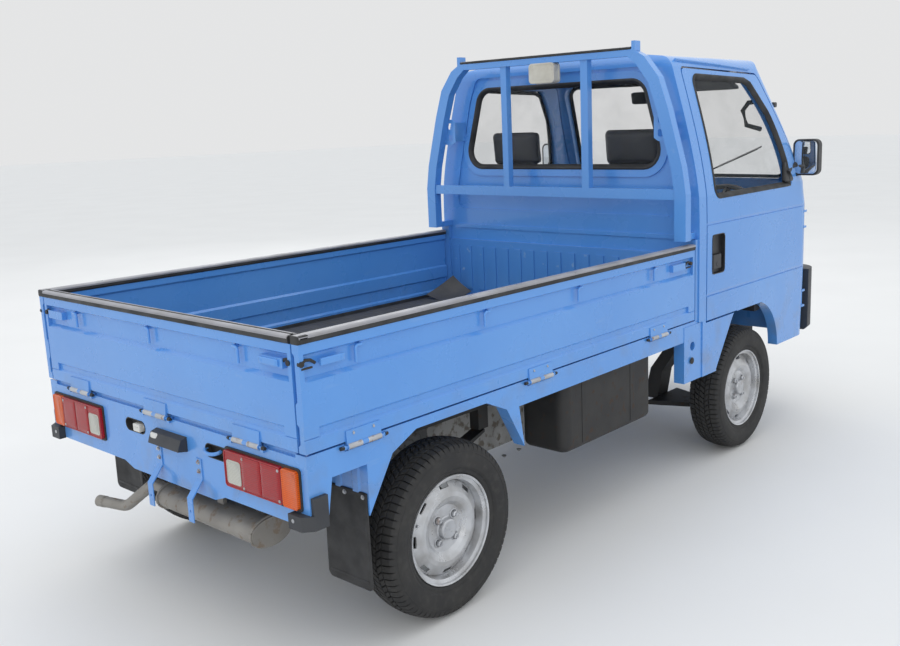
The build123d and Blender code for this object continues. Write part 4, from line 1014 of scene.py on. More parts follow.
gateDress = {
    "stripe": 0.0178, "stripeTop": 0.9668, "stripeDeep": 0.0070,
    "bead": 0.0042, "beadLift": 0.0016, "beadPast": 0.0014,
    "capHalf": (0.0178, 0.017, 0.0112), "capZ": 0.9575,
    "pinZ": 0.652, "sleeve": 0.0083, "sleeveEnds": (0.010, 0.058), "pinEnds": (0.072, 0.083),
    "pinRadii": (0.0062, 0.0045), "boltAlong": 0.035, "boltZ": 0.684, "bolt": (0.0042, 0.0045),
    "lever": (0.0050, 0.040, 0.0098), "latchZ": 0.893, "pivotBack": 0.028, "pivot": (0.006, 0.001),
    "linkWire": 0.0042, "button": 0.0075, "springWire": 0.003,
}
sideGate = {    # out counts from the truck's middle, and the rest runs along the gate
    "ends": (-0.343, 1.606), "stripeOut": 0.673, "caps": (-0.3285, 1.5915),
    "hinges": [rearAxle + d for d in (0.347, -0.412, -1.138)], "pinOut": 0.690, "boltOut": 0.6880,
    "latches": [(-0.2185, -1), (1.508, 1)], "leverOut": 0.6915, "pivotOut": 0.696,
    "link": [(0.050, 0.0), (0.064, 0.010), (0.080, 0.012), (0.094, 0.004)], "linkOut": 0.6845,
    "buttonOut": (0.679, 0.690), "springOut": 0.685, "spring": (0.060, 0.094), "springZ": 0.884,
}
tailGate = {
    "ends": (-0.649, 0.649), "stripeOut": 1.5945, "caps": (),
    "hinges": [0.464, 0.010, -0.440], "pinOut": 1.6115, "boltOut": None,
    "latches": [(0.570, 1), (-0.570, -1)], "leverOut": 1.6125, "pivotOut": 1.6172,
    "link": [(0.045, 0.0), (0.055, 0.010), (0.066, 0.012), (0.073, 0.004)], "linkOut": 1.605,
    "buttonOut": (1.600, 1.611), "springOut": None,
}


def addStripe(bm, start, end, half, top, deep=0.002):
    # a low rounded bar that lies along the top of an edge
    start, end = Vector(start), Vector(end)
    across = (end - start).cross(Vector((0, 0, 1))).normalized()
    left = [(-half, -deep), (-half, -deep * 0.3), (-half * 0.84, 0.0008), (-half * 0.45, 0.0020)]
    section = left + [(-a, b) for a, b in reversed(left)]
    rings = [[spot + across * a + Vector((0, 0, top + b)) for a, b in section] for spot in (start, end)]
    addRings(bm, rings, capped=True)


def makeGateTrim(name, body, gate, place, turned):
    g = gateDress
    first, last = gate["ends"]
    out = gate["stripeOut"]
    bm = bmesh.new()
    addStripe(bm, place(out, first, 0), place(out, last, 0), g["stripe"], g["stripeTop"], g["stripeDeep"])
    endPiece("trim_strip_" + name, bm, "stripe", body, angle=40)
    bm = bmesh.new()
    start, end = place(out, first - g["beadPast"], 0), place(out, last + g["beadPast"], 0)
    addStripe(bm, start, end, g["bead"], g["stripeTop"] + g["beadLift"])
    for along in gate["caps"]:
        centre = place(out, along, g["capZ"])
        addPad(bm, centre, turned(g["capHalf"]), 0.004, crown=0.02, pull=0.0, cuts=6)
    endPiece("trim_lips_" + name, bm, "rubber", body, angle=40)


def makeHinges(name, body, gate, place):
    g = gateDress

    def addPair(bm, along, ends, *radii, count):
        for sign in (-1, 1):
            start, end = (place(gate["pinOut"], along + sign * d, g["pinZ"]) for d in ends)
            addRod(bm, start, end, *radii, count=count)

    bm = bmesh.new()
    for along in gate["hinges"]:
        addPair(bm, along, g["sleeveEnds"], g["sleeve"], count=24)
        if gate["boltOut"]:
            for offset in (-g["boltAlong"], g["boltAlong"]):
                spot = place(gate["boltOut"], along + offset, g["boltZ"])
                addBolt(bm, spot, place(1, 0, 0), *g["bolt"])
    endPiece("hinge_sleeves_" + name, bm, "steel", body, bevel=0.0012)
    bm = bmesh.new()
    for along in gate["hinges"]:
        addPair(bm, along, g["pinEnds"], *g["pinRadii"], count=16)
    endPiece("hinge_pin_ends_" + name, bm, "frameBlack", "chassis", angle=30)


def makeLatches(name, body, gate, place, turned):
    g = gateDress
    bm = bmesh.new()
    # each lever's pivot lies on the recessed band
    for along, way in gate["latches"]:
        centre = place(gate["leverOut"], along, g["latchZ"])
        addPad(bm, centre, turned(g["lever"]), 0.003, crown=0.05, pull=0.02, cuts=8)
        pivot = place(gate["pivotOut"], along - way * g["pivotBack"], g["latchZ"])
        addScrew(bm, pivot, place(1, 0, 0), *g["pivot"])
    endPiece("latch_levers_" + name, bm, "paint", body, angle=45)
    bm = bmesh.new()
    for along, way in gate["latches"]:
        path = [place(gate["linkOut"], along + way * d, g["latchZ"] + up) for d, up in gate["link"]]
        addTube(bm, path, g["linkWire"], 10)
        reach, rise = gate["link"][-1]
        start, end = (place(out, along + way * reach, g["latchZ"] + rise) for out in gate["buttonOut"])
        addRod(bm, start, end, g["button"], count=18)
        if gate["springOut"]:
            spring = [place(gate["springOut"], along + way * d, gate["springZ"]) for d in gate["spring"]]
            addTube(bm, spring, g["springWire"], 8)
    endPiece("latch_links_" + name, bm, "frameBlack", body, angle=40)


def makeGateDress():
    for name, side in (*sides, ("tail", 0)):
        def place(out, along, up):
            return Vector((side * out, along, up) if side else (along, out, up))

        def turned(half):
            return half if side else (half[1], half[0], half[2])

        gate = sideGate if side else tailGate
        body = "gate_" + name if side else "tailgate"
        makeGateTrim(name, body, gate, place, turned)
        makeHinges(name, body, gate, place)
        makeLatches(name, body, gate, place, turned)


makeGateDress()
print("tail and gates dressed")

# Cab outside: handles, mirrors, gutter, corner plugs, antenna, guard strip, work lamp

cabDress = {
    "handle": ((-0.5845, 0.831), (-0.4795, 0.989)), "handleRound": 0.016,
    "mirror": (0.728, -1.290, 1.262), "mirrorHalf": (0.053, 0.074), "mirrorRound": 0.022,
    "mirrorLip": [(0.0070, -0.004), (0.0072, 0.001), (0.0050, 0.0032), (0.0016, 0.0032), (0.0002, 0.0012)],
    "foot": [(-1.257, 1.158), (-1.158, 1.158), (-1.196, 1.262)], "footRound": 0.010,
    "footRests": [(-1.262, 1.150), (-1.08, 1.120), (-1.185, 1.36)],    # where its plane touches the door
    "armStart": (-1.205, 1.196), "armTurn": (0.668, -1.262, 1.215), "armEnd": (0.682, -1.300, 1.236),
    "armRadius": 0.0105,
    "gutter": [(-0.412, 1.680), (-0.70, 1.6685), (-1.0155, 1.654), (-1.0825, 1.626)],
    "gutterSection": [
        (-0.004, -0.002), (-0.004, 0.008), (-0.001, 0.011), (0.002, 0.010), (0.0035, 0.006), (0.004, -0.002),
    ],
    "cornerPlug": (0.691, -0.318, 0.505),
    "plugProfile": [(-0.001, 0.0135), (0.0015, 0.0130), (0.0022, 0.010), (0.0008, 0.0085), (0.0008, 0.0005)],
    "antenna": (-1.222, 1.500), "antennaLean": (0.040, 0.125, 0.242),
    "antennaRadii": (0.0026, 0.0012), "antennaNut": (0.0080, 0.0050), "antennaFoot": (0.010, 0.018, 0.012),
    "guardY": -0.2845, "guardBlackStrip": (0.447, 0.0225, 0.0055), "guardBlackStripZ": 1.7295,
    "guardStrip": 0.445, "guardStripHalf": 0.0215, "guardStripZ": 1.7345,
    "workLamp": ((-0.078, 1.621), (0.050, 1.699)), "workLampY": -0.2565, "workLampRound": 0.014,
    "workLens": [
        (0.002, -0.012), (0.0022, 0.0005), (-0.0015, 0.0025), (-0.006, 0.0010), (-0.010, 0.0022),
        (-0.030, 0.0034),
    ],
    "workBand": [(0.0005, -0.040), (0.003, -0.038), (0.003, -0.033), (0.0005, -0.031)],
}


def doorSkin(side, door, y, z):
    return skinAt([door], (side * farOut["side"], y, z), (-side, 0, 0))[0]


def makeHandle(sideName, side, door):
    low, high = cabDress["handle"]
    middle = ((low[0] + high[0]) / 2, (low[1] + high[1]) / 2)
    skin = abs(doorSkin(side, door, high[0] + 0.012, middle[1]).x)
    deep = abs(doorSkin(side, door, *middle).x) - skin

    def toSide(p, depth):
        return Vector((side * (skin + depth), p.x, p.y))

    bm = bmesh.new()
    addLayers(bm, rectLoop(low, high, cabDress["handleRound"]), toSide, [
        (0.0022, -0.0006), (0.0022, 0.0012), (0.0008, 0.0018), (-0.0012, 0.0010), (-0.0030, deep + 0.003),
        (-0.012, deep + 0.0012),
    ])
    endPiece("handle_cup_" + sideName, bm, "mirrorBlack", door, angle=45)
    bm = bmesh.new()
    centre = (side * (skin - 0.009), middle[0], low[1] + 0.046)
    addPad(bm, centre, (0.006, 0.034, 0.030), 0.004, crown=0.1, pull=0.02, cuts=10)
    start, end = ((side * (skin - depth), middle[0], low[1] + 0.036) for depth in (0.006, 0.0015))
    addRod(bm, start, end, 0.011, 0.010, 24)
    endPiece("handle_paddle_" + sideName, bm, "innerTrim", door, angle=45)


def makeMirror(sideName, side, door):
    x, y, z = cabDress["mirror"]
    halfX, halfZ = cabDress["mirrorHalf"]

    def toMirror(p, depth):
        return Vector((side * p.x, y + depth, p.y))

    bm = bmesh.new()
    loop = rectLoop((x - halfX, z - halfZ), (x + halfX, z + halfZ), cabDress["mirrorRound"], 8)
    addLayers(bm, loop, toMirror, [(0, -0.001), (0, 0.0012), (-0.0015, 0.0018)])
    endPiece("mirror_glass_" + sideName, bm, "mirrorGlass", door, angle=30)
    bm = bmesh.new()
    # housing lip round the glass, and the mirror's foot on the window corner
    addLayers(bm, loop, toMirror, cabDress["mirrorLip"], lastCap=False)
    rests = [doorSkin(side, door, *rest) for rest in cabDress["footRests"]]
    plane = (rests[1] - rests[0]).cross(rests[2] - rests[0]).normalized()
    if plane.x * side < 0:
        plane = -plane

    def toFoot(p, depth):
        along = (plane.dot(rests[0]) - plane.y * p.x - plane.z * p.y) / plane.x
        return Vector((along, p.x, p.y)) + plane * depth

    foot = roundedLoop(cabDress["foot"], cabDress["footRound"], 4)
    addLayers(bm, foot, toFoot, [(0, -0.010), (0, 0.002), (-0.0025, 0.0045)], firstCap=True)
    arm = [toFoot(Vector(cabDress["armStart"]), 0.004)]
    arm += [Vector((side * p[0], p[1], p[2])) for p in (cabDress["armTurn"], cabDress["armEnd"])]
    addTube(bm, arm, cabDress["armRadius"], 14)
    endPiece("mirror_trim_" + sideName, bm, "mirrorBlack", door, angle=50)


def makeGutter(sideName, side):
    bm = bmesh.new()
    starts = [(side * farOut["side"], y, z) for y, z in cabDress["gutter"]]
    skins = ["cab_sides", "cab_roof", "windscreen_frame", "cab_back"]
    points, normals = skinLine(skins, starts, (-side, 0, 0))
    addSweep(bm, points, normals, cabDress["gutterSection"])
    endPiece("roof_gutter_" + sideName, bm, "paint", "chassis", angle=50)


def makeCornerPlug(sideName, side):
    bm = bmesh.new()
    x, y, z = cabDress["cornerPlug"]
    addLathe(bm, (side * x, y, z), (side, 0, 0), cabDress["plugProfile"], 24)
    endPiece("corner_plug_" + sideName, bm, "rubber", "chassis", angle=40)


def makeAntenna():
    bm = bmesh.new()
    lean = Vector(cabDress["antennaLean"])
    skins = ["windscreen_frame", "cab_sides", "cab_roof"]
    foot, out, _ = skinAt(skins, (-farOut["side"], *cabDress["antenna"]), (1, 0, 0))
    foot = foot + out * 0.007
    addRod(bm, foot, foot + lean, *cabDress["antennaRadii"], 10)
    addRod(bm, foot - lean * 0.05, foot + lean * 0.04, *cabDress["antennaNut"], 16)
    addPad(bm, foot - out * 0.003, cabDress["antennaFoot"], 0.006, crown=0.05, cuts=6)
    endPiece("antenna", bm, "mirrorBlack", "chassis", angle=40)


def makeGuardTrim():
    y = cabDress["guardY"]
    # a black strip along the top of the guard frame's bar, under the pale strip
    bm = bmesh.new()
    centre = (0, y, cabDress["guardBlackStripZ"])
    addPad(bm, centre, cabDress["guardBlackStrip"], 0.003, crown=0.02, pull=0.0, cuts=10)
    endPiece("guard_black_strip", bm, "rubber", "chassis", angle=40)
    bm = bmesh.new()
    half = cabDress["guardStrip"]
    wide, top = cabDress["guardStripHalf"], cabDress["guardStripZ"]
    addStripe(bm, (-half, y, 0), (half, y, 0), wide, top, 0.004)
    endPiece("guard_strip", bm, "stripe", "chassis", angle=40)


def makeWorkLamp():
    def toLamp(p, depth):
        return Vector((p.x, cabDress["workLampY"] + depth, p.y))

    bm = bmesh.new()
    loop = rectLoop(*cabDress["workLamp"], cabDress["workLampRound"], 6)
    addLayers(bm, loop, toLamp, cabDress["workLens"])
    addLayers(bm, loop, toLamp, cabDress["workBand"], lastCap=False)
    endPiece("work_lamp_lens", bm, "cream", "chassis", angle=45)


def makeCabDress():
    for sideName, side in sides:
        door = "door_" + sideName
        makeHandle(sideName, side, door)
        makeMirror(sideName, side, door)
        makeGutter(sideName, side)
        makeCornerPlug(sideName, side)
    makeAntenna()
    makeGuardTrim()
    makeWorkLamp()


makeCabDress()
print("cab dressed")

# Bed: mat with ribs and a turned-up corner, black strips on the sills under the gates

bedDress = {
    "matTop": 0.664, "matHalf": 0.632, "matRear": 1.5695, "matFront": -0.3345, "ribs": 42, "rib": 0.0034,
    "corner": (0.622, -0.326), "curlWidth": -0.13, "curlLength": 0.17, "curlLift": 0.085,
    "curlThick": 0.0025, "curlCells": 12,
    "sillStripSection": [    # a foot on the sill and a lip that leans on the gate's foot
        (-0.008, 0.0), (0.006, 0.0), (0.0068, 0.010), (0.0048, 0.014), (0.0030, 0.010), (0.0020, 0.003),
        (-0.008, 0.002),
    ],
    "sillStripZ": 0.6602, "sideSillStrip": 0.6500, "sideStations": (-0.318, 0.3, 0.95, 1.574),
    "tailSillStrip": 1.5722, "tailStations": (-0.640, 0.0, 0.640),
}


def makeMatRibs():
    bm = bmesh.new()
    half, rear, front = bedDress["matHalf"], bedDress["matRear"], bedDress["matFront"]
    for x in spread(0.02 - half, half - 0.02, bedDress["ribs"]):
        start, end = (x, front + 0.02, 0), (x, rear - 0.012, 0)
        addStripe(bm, start, end, bedDress["rib"], bedDress["matTop"] - 0.0006)
    endPiece("mat_ribs", bm, "mat", "chassis", angle=40)


def makeMatCorner():
    b = bedDress
    bm = bmesh.new()
    count = b["curlCells"]
    grid = []
    for i in range(count + 1):
        row = []
        for j in range(count + 1):
            across, along = i / count, j / count
            curl = max(0.0, (1 - along) * 0.62 + (1 - across) * 0.62 - 0.18)
            x = b["corner"][0] + across * b["curlWidth"] - 0.045 * curl ** 2
            y = b["corner"][1] + along * b["curlLength"] + 0.03 * curl ** 2
            row.append(Vector((x, y, b["matTop"] + 0.002 + b["curlLift"] * curl ** 1.7)))
        grid.append(row)
    layers = []
    for drop in (0.0, b["curlThick"]):
        made = [[bm.verts.new(p - Vector((0, 0, drop))) for p in row] for row in grid]
        for i in range(count):
            for j in range(count):
                face = (made[i][j], made[i + 1][j], made[i + 1][j + 1], made[i][j + 1])
                bm.faces.new(face[::-1] if drop else face)
        layers.append(made)
    top, foot = layers
    rim = [(i, 0) for i in range(count)] + [(count, j) for j in range(count)]
    rim += [(i, count) for i in range(count, 0, -1)] + [(0, j) for j in range(count, 0, -1)]
    for (i, j), (nextI, nextJ) in zip(rim, rim[1:] + rim[:1]):
        bm.faces.new((top[i][j], foot[i][j], foot[nextI][nextJ], top[nextI][nextJ]))
    endPiece("mat_corner", bm, "mat", "chassis", angle=60)


def makeGateSillStrips():
    b = bedDress
    # black strips on the sills, along the inside of the slit under each gate
    bm = bmesh.new()

    def addSillStrip(place, stations):
        rings = [[place(a, station, b["sillStripZ"] + up) for a, up in b["sillStripSection"]] for station in stations]
        addRings(bm, rings, capped=True)

    for _, side in sides:
        addSillStrip(lambda a, y, z: Vector((side * (b["sideSillStrip"] + a), y, z)), b["sideStations"])
    addSillStrip(lambda a, x, z: Vector((x, b["tailSillStrip"] + a, z)), b["tailStations"])
    endPiece("gate_sill_strips", bm, "rubber", "chassis", angle=40)


makeMatRibs()
makeMatCorner()
makeGateSillStrips()

# Cab inside: seats, door cards, dashboard fittings, controls, headliner

seatShape = {
    "x": 0.315, "pull": 0.035, "round": 0.72, "piping": 0.0032,
    "pads": {    # middle, half size, tilt, crown, place and depth of the sewn channels
        "cushion": ((0, -0.832, 0.747), (0.226, 0.213, 0.062), -6, 0.16, (0.120, 0.09)),
        "back": ((0, -0.558, 0.985), (0.218, 0.043, 0.232), -13, 0.20, (0.118, 0.13)),
        "head": ((0, -0.486, 1.345), (0.130, 0.034, 0.071), -6, 0.22, None),
    },
    "channelWide": 0.012,
    "base": ((0, -0.810, 0.684), (0.215, 0.215, 0.016)), "recliner": (0.232, -0.628, 0.775),
    "postGap": 0.075, "post": [(-0.486, 1.180), (-0.486, 1.300)],
    "postSleeve": [(-0.490, 1.208), (-0.488, 1.224)],
    "runners": (-0.18, 0.18), "runnerHalf": 0.014, "runnerEnds": [(-1.02, 0.6705), (-0.60, 0.684)],
}


def pipingLoop(centre, half, tilt):
    # the widest line round a pad, pulled in at the middle of each side like the pad itself
    thin, (first, second) = padAxes(half)
    pull = seatShape["pull"]
    corner = (half[first], half[second])
    loop = rectLoop((-corner[0], -corner[1]), corner, min(half) * seatShape["round"], 6)
    points = []
    for p in loop:
        spot = Vector((0, 0, 0))
        spot[first] = p.x * (1 - pull * (1 - (p.y / half[second]) ** 2))
        spot[second] = p.y * (1 - pull * (1 - (p.x / half[first]) ** 2))
        spot[thin] = min(half) * 0.24
        points.append(centre + tilted(tilt) @ spot)
    return points


def addSeatFrame(bm, shift):
    centre, half = seatShape["base"]
    addPad(bm, Vector(centre) + shift, half, 0.006, crown=0.0, pull=0.0, cuts=6)
    for way in (-1, 1):
        x = shift.x + way * seatShape["postGap"]
        addRod(bm, *[(x, *end) for end in seatShape["post"]], 0.006, count=14)
        addRod(bm, *[(x, *end) for end in seatShape["postSleeve"]], 0.011, 0.009, 16)
    for offset in seatShape["runners"]:
        x, half = shift.x + offset, seatShape["runnerHalf"]
        low, high = seatShape["runnerEnds"]
        addBox(bm, (x - half, *low), (x + half, *high))
    # recliner at the joint between cushion and back
    reach, y, z = seatShape["recliner"]
    addRod(bm, (shift.x - reach, y, z), (shift.x + reach, y, z), 0.016, count=20)


def makeSeats():
    for sideName, side in sides:
        shift = Vector((side * seatShape["x"], 0, 0))
        for key, (middle, half, tilt, crown, channel) in seatShape["pads"].items():
            channels = []
            if channel:
                place, depth = channel
                channels = [(x, seatShape["channelWide"], depth) for x in (-place, place)]
            centre = Vector(middle) + shift
            edge = min(half) * seatShape["round"]
            bm = bmesh.new()
            addPad(bm, centre, half, edge, tilted(tilt), crown, seatShape["pull"], channels, 38)
            name = "seat_" + key + "_" + sideName
            endPiece(name, bm, "seat", "chassis", angle=80)
            bm = bmesh.new()
            addTube(bm, pipingLoop(centre, half, tilt), seatShape["piping"], 8, closed=True)
            name = "seat_piping_" + key + "_" + sideName
            endPiece(name, bm, "rubber", "chassis", angle=60)
        if side > 0:
            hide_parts("seats")
        bm = bmesh.new()
        addSeatFrame(bm, shift)
        name = "seat_frame_" + sideName
        endPiece(name, bm, "frameBlack", "chassis", bevel=0.001, angle=35)


makeSeats()

cardShape = {
    "low": (-1.255, 0.735), "high": (-0.53, 1.105), "round": 0.03,
    "layers": [(0, 0), (0, 0.004), (-0.003, 0.006), (-0.02, 0.006)],
    "rest": (-0.84, 0.925), "restHalf": (0.018, 0.16, 0.022),
    "winder": (-1.12, 0.865), "winderArm": (0.055, 0.045),
    "winderHub": [(0, 0.026), (0.006, 0.024), (0.012, 0.016), (0.016, 0.010), (0.016, 0.0005)],
}


def makeDoorCards():
    c = cardShape
    for sideName, side in sides:
        body = "door_" + sideName
        inner = []
        for z in spread(c["low"][1], c["high"][1], 6):
            for y in spread(c["low"][0], c["high"][0], 10):
                hit = skinAt([body], (side * 0.3, y, z), (side, 0, 0))
                if hit:
                    inner.append(abs(hit[0].x))
        wall = min(inner) + 0.0005

        def toCard(p, depth):
            return Vector((side * (wall - depth), p.x, p.y))

        bm = bmesh.new()
        addLayers(bm, rectLoop(c["low"], c["high"], c["round"]), toCard, c["layers"], firstCap=True)
        addPad(bm, (side * (wall - 0.020), *c["rest"]), c["restHalf"], 0.012, crown=0.08, cuts=12)
        hub = Vector((side * (wall - 0.006), *c["winder"]))
        inward = Vector((-side, 0, 0))
        arm = Vector((0, *c["winderArm"]))
        addLathe(bm, hub, inward, c["winderHub"], 24)
        addRod(bm, hub + inward * 0.014, hub + inward * 0.020 + arm, 0.006, 0.005, 12)
        addRod(bm, hub + inward * 0.018 + arm, hub + inward * 0.036 + arm, 0.010, 0.009, 16)
        endPiece("door_card_" + sideName, bm, "innerTrim", body, angle=45)


makeDoorCards()

cabin = {
    "wheel": (-0.315, -1.190, 1.010), "wheelTilt": 38, "gripRadius": 0.180, "grips": 48,
    "horn": [(-0.006, 0.060), (0.008, 0.058), (0.018, 0.050), (0.023, 0.036), (0.024, 0.0005)],
    "pads": [    # middle, half size, edge, tilt, crown, cuts: instrument pod, glove box lid, centre panel
        ((-0.315, -1.385, 1.088), (0.150, 0.070, 0.030), 0.024, -14, 0.10, 16),
        ((0.300, -1.293, 0.985), (0.190, 0.008, 0.052), 0.006, -5, 0.02, 10),
        ((0.0, -1.293, 0.965), (0.085, 0.012, 0.072), 0.008, -5, 0.02, 10),
    ],
    "vents": (-0.535, -0.120, 0.120, 0.535), "ventHalf": 0.045, "ventZ": (0.995, 1.035), "ventY": -1.296,
    "ventFrame": [(0.004, -0.006), (0.004, 0.006), (0.0, 0.008), (-0.003, 0.001)],
    "vanes": 4, "vanePitch": 0.0085,
    "knobs": (-0.045, 0.0, 0.045), "knob": [(-0.004, 0.014), (0.010, 0.013), (0.014, 0.010), (0.014, 0.0005)],
    "pedals": [(-0.405, 0.030), (-0.325, 0.030), (-0.255, 0.022)],    # place and half width
    "pedalArm": [(-1.343, 0.570), (-1.375, 0.640), (-1.380, 0.780)],
    "gearLever": [(-0.02, -0.985, 0.668), (-0.02, -0.990, 0.760), (-0.03, -0.960, 0.880)],
    "gearBoot": [
        (0, 0.060), (0.012, 0.052), (0.020, 0.040), (0.032, 0.034), (0.040, 0.020), (0.062, 0.014),
    ],
    "handBrake": [(0.035, -0.900, 0.675), (0.035, -0.800, 0.735), (0.035, -0.690, 0.790)],
    "dials": (-0.365, -0.265), "dialRadius": 0.042, "dialFace": (-1.318, 1.082),
    "liner": {    # under: below the roof's inner face, or below spare where the roof has a hole
        "half": 0.50, "front": -1.085, "length": 0.655, "under": 0.006, "spare": 1.690, "thick": 0.003,
        "count": 14,
    },
    "visor": (0.270, -1.118, 1.610),
    "visorArm": [(0.43, -1.160, 1.606), (0.455, -1.150, 1.620), (0.460, -1.140, 1.640)],
    "mirror": (0, -1.140, 1.560), "mirrorStem": [(0, -1.150, 1.575), (0, -1.175, 1.610), (0, -1.165, 1.645)],
    "grabHandle": [
        (-0.545, -1.175, 1.520), (-0.515, -1.140, 1.515), (-0.505, -1.105, 1.480), (-0.512, -1.130, 1.415),
        (-0.550, -1.195, 1.395),
    ],
}


def addVent(bm, x):
    def toDash(p, depth):
        return Vector((p.x, cabin["ventY"] + depth, p.y))

    half, (low, high), y = cabin["ventHalf"], cabin["ventZ"], cabin["ventY"]
    addLayers(bm, rectLoop((x - half, low), (x + half, high), 0.006), toDash, cabin["ventFrame"])
    for k in range(cabin["vanes"]):
        z = low + 0.0055 + cabin["vanePitch"] * k
        addBox(bm, (x - 0.040, y, z), (x + 0.040, y + 0.006, z + 0.002))


def makeDashFittings():
    bm = bmesh.new()
    for middle, half, edge, tilt, crown, cuts in cabin["pads"]:
        addPad(bm, middle, half, edge, tilted(tilt), crown, 0.0, cuts=cuts)
    for x in cabin["vents"]:
        addVent(bm, x)
    for x in cabin["knobs"]:
        addLathe(bm, (x, -1.281, 0.925), (0, 1, -0.08), cabin["knob"], 20)
    # pedals on their arms, and the two levers between the seats
    for x, width in cabin["pedals"]:
        addPad(bm, (x, -1.335, 0.560), (width, 0.010, 0.030), 0.006, tilted(35), 0.05, 0.0, cuts=6)
        addTube(bm, [(x, *spot) for spot in cabin["pedalArm"]], 0.006, 8)
    addTube(bm, cabin["gearLever"], 0.007, 10)
    addPad(bm, (-0.031, -0.957, 0.900), (0.021, 0.021, 0.026), 0.018, crown=0.05, cuts=8)
    addLathe(bm, (-0.02, -0.986, 0.668), (0, 0, 1), cabin["gearBoot"], 24)
    addTube(bm, cabin["handBrake"], 0.0085, 10)
    addTube(bm, [(0.035, -0.775, 0.748), cabin["handBrake"][-1]], 0.0135, 12)
    endPiece("dash_fittings", bm, "innerTrim", "chassis", angle=40)


def makeDials():
    bm = bmesh.new()
    radius, (y, z) = cabin["dialRadius"], cabin["dialFace"]
    rim = [(-0.02, radius), (0.001, radius), (0.003, radius - 0.003), (0.0, radius - 0.006), (0.0, 0.0005)]
    for x in cabin["dials"]:
        addLathe(bm, (x, y, z), (0, 1, 0.35), rim, 32)
        addRod(bm, (x, y + 0.0015, z), (x + 0.020, y + 0.0020, z - 0.016), 0.0015, 0.0006, 6)
    # the radio's face
    addPad(bm, (0.0, -1.279, 0.995), (0.070, 0.003, 0.020), 0.002, tilted(-5), 0.0, 0.0, cuts=4)
    endPiece("dials", bm, "whitePlastic", "chassis", angle=35)


def makeWheelPad():
    bm = bmesh.new()
    tilt = tilted(-cabin["wheelTilt"])
    normal = tilt @ Vector((0, 0, 1))
    middle = Vector(cabin["wheel"])
    addLathe(bm, middle, normal, cabin["horn"], 36)
    for turn in (0, math.pi / 2, math.pi):
        out = tilt @ Vector((math.cos(turn), -math.sin(turn), 0))
        start, end = middle + out * 0.045 - normal * 0.006, middle + out * 0.172 - normal * 0.004
        addRod(bm, start, end, 0.013, 0.009, 14)
    for k in range(cabin["grips"]):
        turn = 2 * math.pi * k / cabin["grips"]
        out = tilt @ Vector((math.cos(turn), math.sin(turn), 0))
        grip = middle + out * cabin["gripRadius"]
        addRod(bm, grip - out * 0.0135, grip + out * 0.0135, 0.0032, count=8)
    endPiece("wheel_pad", bm, "mirrorBlack", "steering_wheel", angle=45)


def makeHeadliner():
    # follows the roof's inner face
    bm = bmesh.new()
    liner = cabin["liner"]
    count = liner["count"]
    grid = []
    for i in range(count + 1):
        row = []
        for j in range(count + 1):
            x = -liner["half"] + 2 * liner["half"] * i / count
            y = liner["front"] + liner["length"] * j / count
            hit = skinAt(["cab_roof"], (x, y, 1.45), (0, 0, 1))
            top = hit[0].z if hit else liner["spare"]
            row.append(bm.verts.new((x, y, top - liner["under"])))
        grid.append(row)
    for i in range(count):
        for j in range(count):
            bm.faces.new((grid[i][j], grid[i + 1][j], grid[i + 1][j + 1], grid[i][j + 1]))
    bmesh.ops.solidify(bm, geom=bm.faces[:], thickness=liner["thick"])
    endPiece("headliner", bm, "whitePlastic", "chassis", angle=60)


def makeVisors():
    bm = bmesh.new()
    x, y, z = cabin["visor"]
    for _, side in sides:
        addPad(bm, (side * x, y, z), (0.175, 0.075, 0.009), 0.007, tilted(20), 0.05, 0.0, cuts=12)
        addTube(bm, [(side * p[0], p[1], p[2]) for p in cabin["visorArm"]], 0.004, 8)
    endPiece("sun_visors", bm, "innerTrim", "chassis", angle=50)


def makeInnerMirror():
    bm = bmesh.new()
    addPad(bm, cabin["mirror"], (0.105, 0.012, 0.029), 0.010, tilted(-12), 0.06, 0.0, cuts=12)
    addTube(bm, cabin["mirrorStem"], 0.006, 10)
    # grab handle on the passenger's windscreen pillar
    addTube(bm, cabin["grabHandle"], 0.011, 12)
    endPiece("inner_mirror", bm, "mirrorBlack", "chassis", angle=50)


makeDashFittings()
makeDials()
makeWheelPad()
makeHeadliner()
makeVisors()
makeInnerMirror()
print("bed and cabin dressed")

# Front: lamp bezels, grille, cowl, wipers, bumper intake

front = {
    "lamp": ((0.398, 0.775), (0.588, 0.892)), "lampRound": 0.012,
    "bezel": [(0.0075, -0.002), (0.0075, 0.0035), (0.003, 0.005), (-0.001, 0.003), (-0.002, -0.002)],
    "flutes": 11, "flute": [(-0.003, -0.001), (-0.0015, 0.0010), (0.0015, 0.0010), (0.003, -0.001)],
    "grille": (0.375, 0.800, 0.885), "slats": 6,
    "slat": [(-0.0035, -0.001), (-0.0035, 0.004), (-0.001, 0.0065), (0.0035, 0.002), (0.0035, -0.001)],
    "grilleEdge": [(-0.005, -0.001), (-0.004, 0.0065), (0.004, 0.0065), (0.005, -0.001)],
    "cowl": (0.50, 1.112, 1.142), "cowlSlats": 4,
    "cowlSlat": [(-0.003, -0.001), (-0.003, 0.0025), (0.003, 0.0010), (0.003, -0.001)],
    "intake": (0.20, 0.48, 0.485, 0.560), "intakeSlats": 5,
    "intakeSlat": [(-0.004, -0.001), (-0.004, 0.004), (0.004, 0.0025), (0.004, -0.001)],
    "wipers": [((0.40, 1.165), (0.06, 1.290)), ((-0.10, 1.165), (-0.44, 1.290))],    # foot and tip, x and z
    "blade": [
        (-0.0012, -0.006), (-0.0035, 0.003), (-0.0030, 0.009), (0.0030, 0.009), (0.0035, 0.003),
        (0.0012, -0.006),
    ],
}


def fromNose(x, z):
    return (x, farOut["nose"], z)


def addAcross(bm, names, start, end, z, section, lift, count=37):
    # a strip from side to side that follows the nose
    points, normals = skinLine(names, [fromNose(x, z) for x in spread(start, end, count)], rearward, lift)
    addSweep(bm, points, normals, section)


